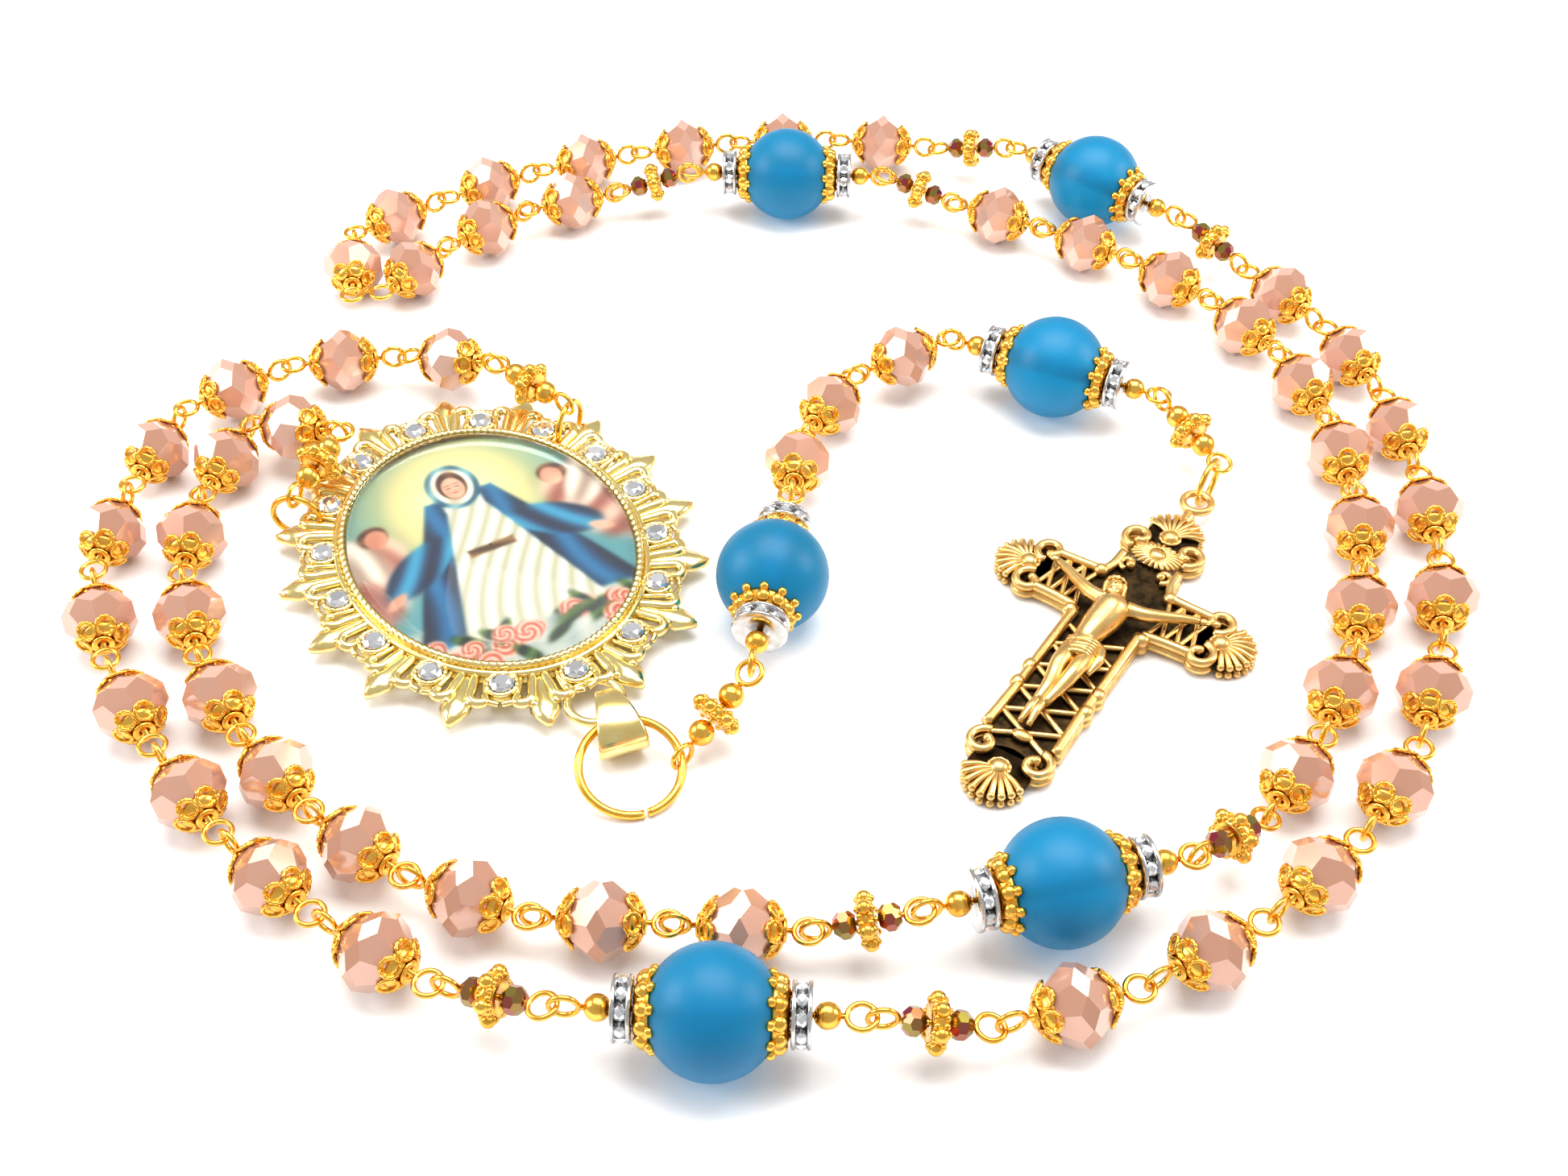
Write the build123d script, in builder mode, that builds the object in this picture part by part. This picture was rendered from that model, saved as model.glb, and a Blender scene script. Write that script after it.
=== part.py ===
from build123d import *
import math
import os

# A five-decade rosary of wire-linked beads, laid out on a flat surface at Z = 0.
# Units are millimetres. The origin is the middle of the medal's flat back, +Z is up.

# ---------------------------------------------------------------- driving dimensions
# wire loops that join the links
WIRE_R = 0.27
LOOP_R = 1.3              # centre line of a wire loop
TAUT_STEP = 2.0            # loop centre to the next link's loop centre when the chain is pulled straight
BORE_R = 0.4               # holes in beads and caps

# Hail Mary links: faceted rondelle between two dished caps
HAIL_MARY_LENGTH = 12.0    # loop centre to loop centre
BEAD_HALF_LENGTH = 3.1
BEAD_BLANK_R = 4.1
FACET_ROWS = [(0, 3.6, 0.0), (35, 3.22, 22.5), (62, 3.3, 0.0)]   # latitude, distance, phase
FACETS_PER_ROW = 8

# Our Father links: glass ball, crown caps, rhinestone rondelles and small metal balls
OUR_FATHER_LENGTH = 25.5
GLASS_R = 6.0
CROWN_END = 6.7
RONDELLE_WIDTH = 1.8
RONDELLE_R = 3.0
LITTLE_BALL_R = 1.25

# spacer links: a granulated star between two seed beads or two metal balls
SEED_SPACER_LENGTH = 9.5
BALL_SPACER_LENGTH = 10.7
STAR_HALF_WIDTH = 1.0
STAR_LOBE_RING_R = 2.0
STAR_LOBE_R = 0.85
SEED_R = 1.25
SEED_WIDTH = 2.1
METAL_BALL_R = 1.35

# medal: a domed glass cabochon in an oval openwork frame
MEDAL_AXIS_DEG = -60       # direction of the oval's long axis, towards the bail
CABOCHON_A = 19.1
CABOCHON_B = 15.1
TRAY_WALL = 0.8
TRAY_FLOOR = 1.0
TRAY_HEIGHT = 3.5
PICTURE_THICKNESS = 0.4
DOME_HEIGHT = 3.4          # dome above its straight edge
DOME_EDGE = 1.4
STONE_COUNT = 16
STONE_A = 21.8             # oval through the rhinestone centres
STONE_B = 17.6
BORDER_BOTTOM = 1.3
BORDER_TOP = 2.9
COLLET_R = 1.75
STONE_R = 1.3
SLOT_SIDE = 2.35           # slots stand this far each side of a stone
SLOT_WIDTH = 1.25
SLOT_TRAVEL = 2.55          # between the slot's two end centres
LOBE_R = 1.6
SPEAR_REACH = 5.5
BAIL_EYE_CENTRE = 26.2     # along the long axis
BAIL_EYE_R = 3.3
BAIL_EYE_HOLE_R = 2.4
BAIL_EYE_BOTTOM = 1.6
BAIL_EYE_THICKNESS = 1.0

# rings and bail
JUMP_RING_R = 2.65
JUMP_WIRE_R = 0.35
BAIL_RING_R = 5.1
BAIL_RING_WIRE_R = 0.45
RING_CUT_DEG = 3
BAIL_HALF_LENGTH = 3.8
BAIL_HALF_HEIGHT = 2.8
BAIL_WALL = 0.9
BAIL_WIDE = 5.2
BAIL_NARROW = 1.6
BAIL_RING_LEAN_DEG = 18    # the bail ring lies with its bail side propped up
PENDANT_HOOK_DEG = 84      # where the pendant hangs on the bail ring, from the ring's low side
RING_HOOK_STEP = 0.5       # jump ring wire to the middle of the loop that hangs on it
BAIL_HOOK_STEP = 0.2       # bail ring wire to the middle of the loop that hangs on it

# crucifix
CROSS_THICKNESS = 2.2
CROSS_HEADING = (-0.551, -0.834)   # the way the crucifix's foot points
CROSS_RING_AT = 19.4       # middle of the top ring above the crossing
CROSS_BOTTOM = 31.3        # crossing to the foot
CROSS_ARM = 15.3
CROSS_RING_R = 1.6
CROSS_RING_WIRE_R = 0.45
CROSS_RING_HEIGHT = 1.7

# heights of the chain above the surface
RUN_HEIGHT = 3.95          # a Hail Mary bead resting on the surface
GLASS_HEIGHT = 6.05        # an Our Father bead resting on the surface
RING_TOP_HEIGHT = 0.05 + 2 * JUMP_RING_R + JUMP_WIRE_R
OVER_FRAME_HEIGHT = 6.4    # the first spacers lie on the medal's border

# ---------------------------------------------------------------- routes, points chosen by hand
OUTER_ROUTE = [
    (-3, 28), (-14, 32), (-27, 30), (-38, 22), (-41, 9), (-42, -5), (-37, -19), (-29, -31),
    (-19, -43), (-8, -52), (4, -59), (12, -61), (37, -62), (49, -62), (63, -58), (77, -50),
    (89, -39), (97, -26), (102, -11), (104, 3), (104, 18), (102, 32), (95, 45), (87, 55),
    (80, 63), (63, 76), (52, 79), (38, 81), (24, 80), (10, 77), (-4, 72), (-15, 65), (-28, 55),
    (-20, 40), (-18, 30),
]
INNER_ROUTE = [
    (-17, 18), (-31, 19), (-33, 5), (-32, -8), (-27, -20), (-19, -32), (-10, -41), (1, -48),
    (12, -51), (24, -51), (36, -52), (46, -51), (70, -45), (77, -40), (84, -31), (90, -20),
    (94, -8), (96, 4), (96, 18), (94, 29), (89, 39), (81, 49), (68, 58), (57, 64), (47, 68),
    (24, 70), (11, 68), (-1, 64), (-10, 57), (-18, 47), (-20, 40), (-20, 20),
]
PENDANT_ROUTE = [
    (30, -21), (33, -9), (33, 8), (35, 21), (44, 32), (60, 33), (75, 23), (83, 10),
]

LINK_LENGTH = {
    "hail_mary": HAIL_MARY_LENGTH,
    "our_father": OUR_FATHER_LENGTH,
    "seed_spacer": SEED_SPACER_LENGTH,
    "ball_spacer": BALL_SPACER_LENGTH,
}
DECADE = ["hail_mary"] * 10
OUR_FATHER_GROUP = ["seed_spacer", "our_father", "seed_spacer"]


# ---------------------------------------------------------------- laying out the chain
def step_along(route, start, segment, distance):
    """The next point of the route that is the given straight distance from start."""
    while True:
        near, far = Vector(*route[segment]), Vector(*route[segment + 1])
        if (far - start).length >= distance:
            run = (far - near).normalized()
            offset = near - start
            half_b = offset.dot(run)
            along = -half_b + math.sqrt(half_b**2 - offset.dot(offset) + distance**2)
            return near + run * along, segment
        segment += 1


def loop_heights(kinds, first, second):
    """Height of each loop: at glass height beside an Our Father bead, else at run height."""
    heights = [RUN_HEIGHT] * (len(kinds) + 1)
    for index, kind in enumerate(kinds):
        if kind == "our_father":
            heights[index] = GLASS_HEIGHT
            heights[index + 1] = GLASS_HEIGHT
    heights[0] = first
    heights[1] = second
    return heights


def lay_chain(route, kinds, slacks, heights, start, first_step):
    """Places each link: returns a list of (plane at the link's middle, hinge point)."""
    placed = []
    loop = Vector(*start)
    segment = 0
    for index, kind in enumerate(kinds):
        step = first_step if index == 0 else TAUT_STEP - slacks[index]
        reach = LINK_LENGTH[kind] + step
        rise = heights[index + 1] - heights[index]
        flat_reach = math.sqrt(reach**2 - rise**2)
        target, segment = step_along(route, loop, segment, flat_reach)
        low = Vector(loop.X, loop.Y, heights[index])
        high = Vector(target.X, target.Y, heights[index + 1])
        along = (high - low).normalized()
        across = Vector(0, 0, 1).cross(along).normalized()
        level = Vector(along.X, along.Y, 0).normalized()
        middle = low + along * (step + LINK_LENGTH[kind] / 2)
        hinge = low if index == 0 else low + level * LOOP_R
        placed.append((Plane(origin=middle, x_dir=along, z_dir=along.cross(across)), hinge))
        loop = target
    return placed


# ---------------------------------------------------------------- pieces of the links
def eye_pin(length):
    """Wire through a link, with an upright loop at one end and a flat loop at the other."""
    with BuildPart() as pin:
        with BuildSketch(Plane.YZ.offset(LOOP_R - length / 2)):
            Circle(WIRE_R)
        extrude(amount=length - 2 * LOOP_R)
        with Locations(Location((-length / 2, 0, 0), (90, 0, 0)), Location((length / 2, 0, 0))):
            Torus(LOOP_R, WIRE_R)
    return pin.part


def turned_pair(profile):
    """A round piece turned from a closed profile of (along, radius) points, and its mirror image."""
    with BuildPart() as pieces:
        with BuildSketch():
            with BuildLine():
                Polyline(*profile, close=True)
            make_face()
        revolve(axis=Axis.X)
        mirror(about=Plane.YZ)
    return pieces.part


def faceted_bead():
    """Crystal rondelle: rows of flat facets cut on a round blank, bored along X."""
    with BuildPart(Plane.YZ) as bead:
        Cylinder(BEAD_BLANK_R, 2 * BEAD_HALF_LENGTH)
        for latitude, distance, phase in FACET_ROWS:
            for side in (1, -1) if latitude else (1,):
                for turn in range(FACETS_PER_ROW):
                    azimuth = math.radians(turn * 360 / FACETS_PER_ROW + phase)
                    tilt = math.radians(latitude)
                    normal = Vector(
                        side * math.sin(tilt),
                        math.cos(tilt) * math.cos(azimuth),
                        math.cos(tilt) * math.sin(azimuth),
                    )
                    facet = Plane(origin=normal * distance, z_dir=normal)
                    split(bisect_by=facet, keep=Keep.BOTTOM)
        Cylinder(BORE_R, 3 * BEAD_HALF_LENGTH, mode=Mode.SUBTRACT)
    return bead.part


def dished_caps():
    """The two bead caps of a Hail Mary link, turned dishes with a collar."""
    profile = [
        (2.1, 2.8), (2.1, 3.1), (2.85, 2.75), (3.45, 1.8), (3.6, 0.9), (4.1, 0.9), (4.1, BORE_R),
        (3.2, BORE_R), (3.2, 1.5), (2.72, 2.45),
    ]
    return turned_pair(profile)


def hail_mary_link():
    with BuildPart() as link:
        add(faceted_bead())
        add(dished_caps())
        add(eye_pin(HAIL_MARY_LENGTH))
    return link.part


def crown_caps():
    """Crown-shaped caps that seat on the glass ball."""
    seat_r = GLASS_R + 0.08
    rim_r = 3.6
    middle = math.asin(rim_r / seat_r) / 2
    rim = (math.sqrt(seat_r**2 - rim_r**2), rim_r)
    collar = (math.sqrt(seat_r**2 - BORE_R**2), BORE_R)
    with BuildPart() as caps:
        with BuildSketch():
            with BuildLine():
                ThreePointArc(collar, (seat_r * math.cos(middle), seat_r * math.sin(middle)), rim)
                Polyline(rim, (4.95, 4.0), (5.6, 3.7), (CROWN_END, 2.5), (CROWN_END, BORE_R), collar)
            make_face()
        revolve(axis=Axis.X)
        mirror(about=Plane.YZ)
    return caps.part


def our_father_link():
    """Glass ball with crown caps, rhinestone rondelles and a little metal ball at each end."""
    near = CROWN_END + 0.05
    far = near + RONDELLE_WIDTH
    lip = 0.35
    waist_r = RONDELLE_R - 0.5
    rondelle = [
        (near, BORE_R), (near, RONDELLE_R), (near + lip, RONDELLE_R), (near + lip, waist_r),
        (far - lip, waist_r), (far - lip, RONDELLE_R), (far, RONDELLE_R), (far, BORE_R),
    ]
    ball_at = far + 0.05 + LITTLE_BALL_R
    with BuildPart() as link:
        Sphere(GLASS_R, rotation=(0, 90, 0))
        with Locations((ball_at, 0, 0), (-ball_at, 0, 0)):
            Sphere(LITTLE_BALL_R, rotation=(0, 90, 0))
        Cylinder(BORE_R, OUR_FATHER_LENGTH, rotation=(0, 90, 0), mode=Mode.SUBTRACT)
        add(crown_caps())
        add(turned_pair(rondelle))
        add(eye_pin(OUR_FATHER_LENGTH))
    return link.part


def star_spacer():
    """Granulated spacer: six round lobes about a hub, bored along X."""
    with BuildPart(Plane.YZ) as star:
        Cylinder(STAR_LOBE_RING_R, 1.6 * STAR_HALF_WIDTH)
        with PolarLocations(STAR_LOBE_RING_R, 6):
            Sphere(STAR_LOBE_R)
        Cylinder(BORE_R, 4 * STAR_HALF_WIDTH, mode=Mode.SUBTRACT)
    return star.part


def seed_spacer_link():
    near = STAR_HALF_WIDTH + 0.02
    far = near + SEED_WIDTH
    bevel = 0.5
    seed = [
        (near, BORE_R), (near, SEED_R - bevel), (near + bevel, SEED_R), (far - bevel, SEED_R),
        (far, SEED_R - bevel), (far, BORE_R),
    ]
    with BuildPart() as link:
        add(star_spacer())
        add(turned_pair(seed))
        add(eye_pin(SEED_SPACER_LENGTH))
    return link.part


def ball_spacer_link():
    ball_at = STAR_HALF_WIDTH + 0.02 + METAL_BALL_R
    with BuildPart() as link:
        with Locations((ball_at, 0, 0), (-ball_at, 0, 0)):
            Sphere(METAL_BALL_R, rotation=(0, 90, 0))
        Cylinder(BORE_R, BALL_SPACER_LENGTH, rotation=(0, 90, 0), mode=Mode.SUBTRACT)
        add(star_spacer())
        add(eye_pin(BALL_SPACER_LENGTH))
    return link.part


# ---------------------------------------------------------------- medal
axis_turn = math.radians(MEDAL_AXIS_DEG)
medal_plane = Plane(origin=(0, 0, 0), x_dir=(math.cos(axis_turn), math.sin(axis_turn), 0), z_dir=(0, 0, 1))
stone_oval = Edge.make_ellipse(STONE_A, STONE_B)


def border_place(station, outward, sideways):
    """A place on the border, in the medal's plane, measured from an evenly spaced station."""
    share = (station / STONE_COUNT) % 1
    point = stone_oval.position_at(share * stone_oval.length, position_mode=PositionMode.LENGTH)
    turn = math.atan2(point.Y / STONE_B**2, point.X / STONE_A**2)
    x = point.X + outward * math.cos(turn) - sideways * math.sin(turn)
    y = point.Y + outward * math.sin(turn) + sideways * math.cos(turn)
    return Location((x, y, 0), (0, 0, math.degrees(turn)))


stations = range(STONE_COUNT)
stone_places = [border_place(k, 0, 0) for k in stations]
slot_places = [border_place(k, -0.1, side * SLOT_SIDE) for k in stations for side in (1, -1)]
lobe_places = [border_place(k, 1.0, side * SLOT_SIDE) for k in stations for side in (1, -1)]
spear_places = [border_place(k + 0.5, 0, 0) for k in stations]

with BuildPart() as medal_frame:
    with BuildSketch(medal_plane.offset(BORDER_BOTTOM)):
        Ellipse(STONE_A + 1, STONE_B + 1)
        with Locations(*stone_places):
            Circle(COLLET_R)
        with Locations(*lobe_places):
            Circle(LOBE_R)
        with Locations(*spear_places):
            Polygon((0, -1.1), (2.6, -1.15), (SPEAR_REACH, 0), (2.6, 1.15), (0, 1.1), align=None)
        with Locations(*slot_places):
            SlotCenterToCenter(SLOT_TRAVEL, SLOT_WIDTH, mode=Mode.SUBTRACT)
        Ellipse(CABOCHON_A, CABOCHON_B, mode=Mode.SUBTRACT)
    extrude(amount=BORDER_TOP - BORDER_BOTTOM)
    with BuildSketch(medal_plane.offset(BAIL_EYE_BOTTOM)):
        with Locations((BAIL_EYE_CENTRE, 0)):
            Circle(BAIL_EYE_R)
            Circle(BAIL_EYE_HOLE_R, mode=Mode.SUBTRACT)
    extrude(amount=BAIL_EYE_THICKNESS)
    with BuildSketch(medal_plane.offset(BORDER_TOP)):
        with Locations(*stone_places):
            Circle(STONE_R + 0.05)
    extrude(amount=-0.6, mode=Mode.SUBTRACT)
    with BuildSketch(medal_plane):
        Ellipse(CABOCHON_A + TRAY_WALL, CABOCHON_B + TRAY_WALL)
    extrude(amount=TRAY_FLOOR)
    with BuildSketch(medal_plane.offset(TRAY_FLOOR)):
        Ellipse(CABOCHON_A + TRAY_WALL, CABOCHON_B + TRAY_WALL)
        Ellipse(CABOCHON_A + 0.05, CABOCHON_B + 0.05, mode=Mode.SUBTRACT)
    extrude(amount=TRAY_HEIGHT - TRAY_FLOOR)

with BuildPart() as frame_rhinestones:
    with BuildSketch(medal_plane.offset(BORDER_TOP - 0.58)):
        with Locations(*stone_places):
            Circle(STONE_R)
    extrude(amount=0.7)
    with BuildSketch(medal_plane.offset(BORDER_TOP + 0.12)):
        with Locations(*stone_places):
            Circle(STONE_R)
    extrude(amount=0.4, taper=45)

with BuildPart() as picture_disc:
    with BuildSketch(medal_plane.offset(TRAY_FLOOR + 0.02)):
        Ellipse(CABOCHON_A, CABOCHON_B)
    extrude(amount=PICTURE_THICKNESS)

dome_base = TRAY_FLOOR + PICTURE_THICKNESS + 0.05
with BuildPart() as glass_cabochon:
    Sphere(1)
    scale(by=(CABOCHON_A, CABOCHON_B, DOME_HEIGHT))
    split(bisect_by=Plane.XY, keep=Keep.TOP)
    with BuildSketch():
        Ellipse(CABOCHON_A, CABOCHON_B)
    extrude(amount=-DOME_EDGE)
dome_place = medal_plane.offset(dome_base + DOME_EDGE).location
glass_cabochon.part = dome_place * glass_cabochon.part


# ---------------------------------------------------------------- rings and bail
def open_ring(place, radius, wire_r):
    """A round wire ring with a narrow cut, lying in the given plane."""
    with BuildPart(place) as ring:
        Torus(radius, wire_r, major_angle=360 - RING_CUT_DEG)
    return ring.part


def upright_plane(centre, heading):
    """A vertical plane through centre whose X direction is the level heading."""
    heading = Vector(heading.X, heading.Y, 0).normalized()
    return Plane(origin=centre, x_dir=heading, z_dir=heading.cross(Vector(0, 0, 1)))


def medal_ring_plane(station, sideways, outward):
    """The upright plane of a jump ring that hangs in a slot of the border."""
    place = medal_plane.location * border_place(station, outward, sideways)
    middle = border_place(station, 0, sideways)
    heading = place.position - (medal_plane.location * middle).position
    centre = Vector(place.position.X, place.position.Y, RING_TOP_HEIGHT - JUMP_RING_R)
    return upright_plane(centre, heading)


right_ring_plane = medal_ring_plane(6, -SLOT_SIDE, 2.1)
left_ring_plane = medal_ring_plane(-6, SLOT_SIDE, 3.1)

eye_hook = medal_plane.location * Location((BAIL_EYE_CENTRE, 0, 0))
bail_heading = Vector(0.35, -0.94, 0).normalized()
hook_heading = Vector(0.6, -0.8, 0).normalized()
eye_wire_r = (BAIL_EYE_R + BAIL_EYE_HOLE_R) / 2
bail_hook = eye_hook.position + hook_heading * eye_wire_r
bail_centre = bail_hook + bail_heading * 1.2
bail_centre = Vector(bail_centre.X, bail_centre.Y, BAIL_HALF_HEIGHT + 0.05)
bail_plane = upright_plane(bail_centre, bail_heading)
bail_taper = math.atan2(BAIL_WIDE - BAIL_NARROW, 4 * BAIL_HALF_LENGTH)

with BuildPart() as bail:
    with BuildSketch(bail_plane):
        Ellipse(BAIL_HALF_LENGTH, BAIL_HALF_HEIGHT)
        Ellipse(BAIL_HALF_LENGTH - BAIL_WALL, BAIL_HALF_HEIGHT - BAIL_WALL, mode=Mode.SUBTRACT)
    extrude(amount=BAIL_WIDE / 2, both=True)
    for side in (1, -1):
        edge_point = bail_plane.from_local_coords((BAIL_HALF_LENGTH, 0, side * BAIL_WIDE / 2))
        slope = Vector(-math.sin(bail_taper), 0, side * math.cos(bail_taper))
        outward = bail_plane.from_local_coords(slope) - bail_plane.origin
        split(bisect_by=Plane(origin=edge_point, z_dir=outward), keep=Keep.BOTTOM)

ring_lean = math.radians(BAIL_RING_LEAN_DEG)
crossing = bail_centre + bail_heading * 0.6
level_reach = BAIL_RING_R * math.cos(ring_lean)
bail_ring_height = 0.05 + BAIL_RING_WIRE_R + BAIL_RING_R * math.sin(ring_lean)
bail_ring_centre = crossing + bail_heading * level_reach
bail_ring_centre = Vector(bail_ring_centre.X, bail_ring_centre.Y, bail_ring_height)
down_slope = bail_heading * math.cos(ring_lean) - Vector(0, 0, math.sin(ring_lean))
ring_normal = bail_heading * math.sin(ring_lean) + Vector(0, 0, math.cos(ring_lean))
bail_ring_plane = Plane(origin=bail_ring_centre, x_dir=down_slope, z_dir=ring_normal)


# ---------------------------------------------------------------- the chain
hook_turn = math.radians(PENDANT_HOOK_DEG)
pendant_hook = bail_ring_plane.from_local_coords(
    (BAIL_RING_R * math.cos(hook_turn), BAIL_RING_R * math.sin(hook_turn), 0)
)
outer_kinds = ["ball_spacer"] + DECADE + OUR_FATHER_GROUP + DECADE + OUR_FATHER_GROUP + DECADE[:7]
inner_kinds = ["ball_spacer"] + DECADE + OUR_FATHER_GROUP + DECADE + OUR_FATHER_GROUP + DECADE[:3]
pendant_kinds = ["ball_spacer", "our_father"] + DECADE[:3] + ["our_father", "ball_spacer"]
outer_slack = [0, 1.3] + [0.2] * 12 + [0.1] + [0] * 9 + [0.4] * 3 + [0.1] * 7
inner_slack = [0] + [1.35] * (len(inner_kinds) - 1)
pendant_slack = [0, 0.6] + [1.3] * 5


def top_of_ring(plane):
    return (plane.origin.X, plane.origin.Y, RING_TOP_HEIGHT)


outer_start = top_of_ring(right_ring_plane)
inner_start = top_of_ring(left_ring_plane)
outer_chain = lay_chain(
    [outer_start[:2]] + OUTER_ROUTE, outer_kinds, outer_slack,
    loop_heights(outer_kinds, RING_TOP_HEIGHT, OVER_FRAME_HEIGHT), outer_start[:2], RING_HOOK_STEP,
)
inner_chain = lay_chain(
    [inner_start[:2]] + INNER_ROUTE, inner_kinds, inner_slack,
    loop_heights(inner_kinds, RING_TOP_HEIGHT, OVER_FRAME_HEIGHT), inner_start[:2], RING_HOOK_STEP,
)
pendant_start = (pendant_hook.X, pendant_hook.Y)
pendant_chain = lay_chain(
    [pendant_start] + PENDANT_ROUTE, pendant_kinds, pendant_slack,
    loop_heights(pendant_kinds, pendant_hook.Z, GLASS_HEIGHT), pendant_start, BAIL_HOOK_STEP,
)

# Each named piece of the chain is one link, or two neighbouring Hail Mary links.
outer_names = ["outer_end_spacer"]
outer_names += [f"decade_1_beads_{k}_{k + 1}" for k in (1, 3, 5, 7, 9)]
outer_names += ["spacer_1_near", "our_father_1", "spacer_1_far"]
outer_names += [f"decade_2_beads_{k}_{k + 1}" for k in (1, 3, 5, 7, 9)]
outer_names += ["spacer_2_near", "our_father_2", "spacer_2_far"]
outer_names += ["decade_3_beads_1_2", "decade_3_beads_3_4"]
outer_names += [f"decade_3_bead_{k}" for k in (5, 6, 7)]
inner_names = ["inner_end_spacer"]
inner_names += [f"decade_5_beads_{k}_{k - 1}" for k in (10, 8, 6, 4, 2)]
inner_names += ["spacer_4_far", "our_father_4", "spacer_4_near"]
inner_names += [f"decade_4_beads_{k}_{k - 1}" for k in (10, 8, 6, 4, 2)]
inner_names += ["spacer_3_far", "our_father_3", "spacer_3_near"]
inner_names += [f"decade_3_bead_{k}" for k in (10, 9, 8)]
pendant_names = ["pendant_spacer_top", "pendant_our_father_top"]
pendant_names += [f"pendant_hail_mary_{k}" for k in (1, 2, 3)]
pendant_names += ["pendant_our_father_low", "pendant_spacer_low"]

LINK_MAKERS = {
    "hail_mary": hail_mary_link,
    "our_father": our_father_link,
    "seed_spacer": seed_spacer_link,
    "ball_spacer": ball_spacer_link,
}
link_shapes = {kind: make() for kind, make in LINK_MAKERS.items()}
pieces = {}
piece_hinges = {}


def build_chain(names, kinds, chain):
    """Makes the named pieces of one run of the chain and notes where each one hinges."""
    index = 0
    for name in names:
        count = 2 if "beads" in name else 1
        with BuildPart() as piece:
            for plane, _ in chain[index:index + count]:
                with Locations(plane.location):
                    add(link_shapes[kinds[index]])
        pieces[name] = piece.part
        first_plane, hinge = chain[index]
        piece_hinges[name] = (hinge, Vector(first_plane.x_dir.X, first_plane.x_dir.Y, 0).normalized())
        index += count


build_chain(outer_names, outer_kinds, outer_chain)
build_chain(inner_names, inner_kinds, inner_chain)
build_chain(pendant_names, pendant_kinds, pendant_chain)


# ---------------------------------------------------------------- crucifix
last_plane, _ = pendant_chain[-1]
last_loop = last_plane.origin + last_plane.x_dir * (BALL_SPACER_LENGTH / 2)
cross_down = Vector(*CROSS_HEADING, 0).normalized()
crucifix_ring_centre = Vector(last_loop.X, last_loop.Y, RING_TOP_HEIGHT - JUMP_RING_R) + cross_down * 2.8
crucifix_ring_plane = upright_plane(crucifix_ring_centre, cross_down).rotated((0, 0, 90))
cross_ring_centre = crucifix_ring_centre + cross_down * 2.4
cross_origin = cross_ring_centre + cross_down * CROSS_RING_AT
cross_origin = Vector(cross_origin.X, cross_origin.Y, 0)
cross_plane = Plane(origin=cross_origin, x_dir=Vector(0, 0, 1).cross(cross_down), z_dir=(0, 0, 1))


def limb(start, end, start_r, end_r):
    """A tapered round limb between two points of the crucifix."""
    run = Vector(*end) - Vector(*start)
    middle = (Vector(*end) + Vector(*start)) / 2
    with BuildPart(cross_plane) as part:
        with Locations(Plane(origin=middle, z_dir=run)):
            Cone(start_r, end_r, run.length)
    return part.part


scrolls = [(side * 10, height) for side in (1, -1) for height in (3.2, -2.2)]
scrolls += [(side * 2.9, -24.9) for side in (1, -1)]
scrolls += [(side * 3.0, 10.6) for side in (1, -1)]
long_slots = [(side * 2.5, height) for side in (1, -1) for height in (-10, -19)]
arm_slots = [(side * 6.6, height) for side in (1, -1) for height in (2.6, -1.6)]
ARM_LINE = 0.5

with BuildPart() as crucifix:
    with BuildSketch(cross_plane):
        with Locations((0, -7)):
            Rectangle(7.6, 32)
        with Locations((0, ARM_LINE)):
            Rectangle(20, 6.8)
        with Locations((11.2, ARM_LINE), (-11.2, ARM_LINE)):
            Circle(CROSS_ARM - 11.2)
        with Locations((0, 4.2 - CROSS_BOTTOM)):
            Circle(4.2)
        with Locations((0, 13.0)):
            Circle(3.2)
        with Locations((0, 16.6)):
            Rectangle(2.2, 2.4)
        with Locations(*scrolls):
            Circle(2.4)
            Circle(0.85, mode=Mode.SUBTRACT)
        with Locations(*long_slots):
            SlotOverall(7, 1.2, rotation=90, mode=Mode.SUBTRACT)
        with Locations(*arm_slots):
            SlotOverall(4, 1.1, mode=Mode.SUBTRACT)
    extrude(amount=CROSS_THICKNESS)
    with Locations(cross_plane.location * Location((0, CROSS_RING_AT, CROSS_RING_HEIGHT))):
        Torus(CROSS_RING_R, CROSS_RING_WIRE_R)
    for side in (1, -1):
        add(limb((side * 2, -2, 3.2), (side * 9, 1.4, 2.8), 0.95, 0.5))
        add(limb((side * 0.95, -9, 3.0), (side * 0.4, -19, 2.9), 1.3, 0.6))
    add(limb((0, -1.4, 3.1), (0, -10.6, 2.9), 2.5, 1.7))
    add(limb((0, -18.2, 2.8), (0, -22, 2.3), 0.95, 1.2))
    add(limb((-0.5, 0.2, 2.0), (-0.5, 0.2, 5.2), 1.75, 1.2))
    split(bisect_by=Plane.XY, keep=Keep.TOP)


# ---------------------------------------------------------------- the named pieces
pieces["medal_frame"] = medal_frame.part
pieces["frame_rhinestones"] = frame_rhinestones.part
pieces["picture_disc"] = picture_disc.part
pieces["glass_cabochon"] = glass_cabochon.part
pieces["right_jump_ring"] = open_ring(right_ring_plane, JUMP_RING_R, JUMP_WIRE_R)
pieces["left_jump_ring"] = open_ring(left_ring_plane, JUMP_RING_R, JUMP_WIRE_R)
pieces["bail"] = bail.part
pieces["bail_ring"] = open_ring(bail_ring_plane, BAIL_RING_R, BAIL_RING_WIRE_R)
pieces["crucifix_ring"] = open_ring(crucifix_ring_plane, JUMP_RING_R, JUMP_WIRE_R)
pieces["crucifix"] = crucifix.part

os.makedirs("parts", exist_ok=True)
for name, piece in pieces.items():
    piece.label = name
    export_step(piece, f"parts/{name}.step")
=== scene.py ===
import math

import bmesh
import bpy
import numpy as np
from mathutils import Matrix, Vector


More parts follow.
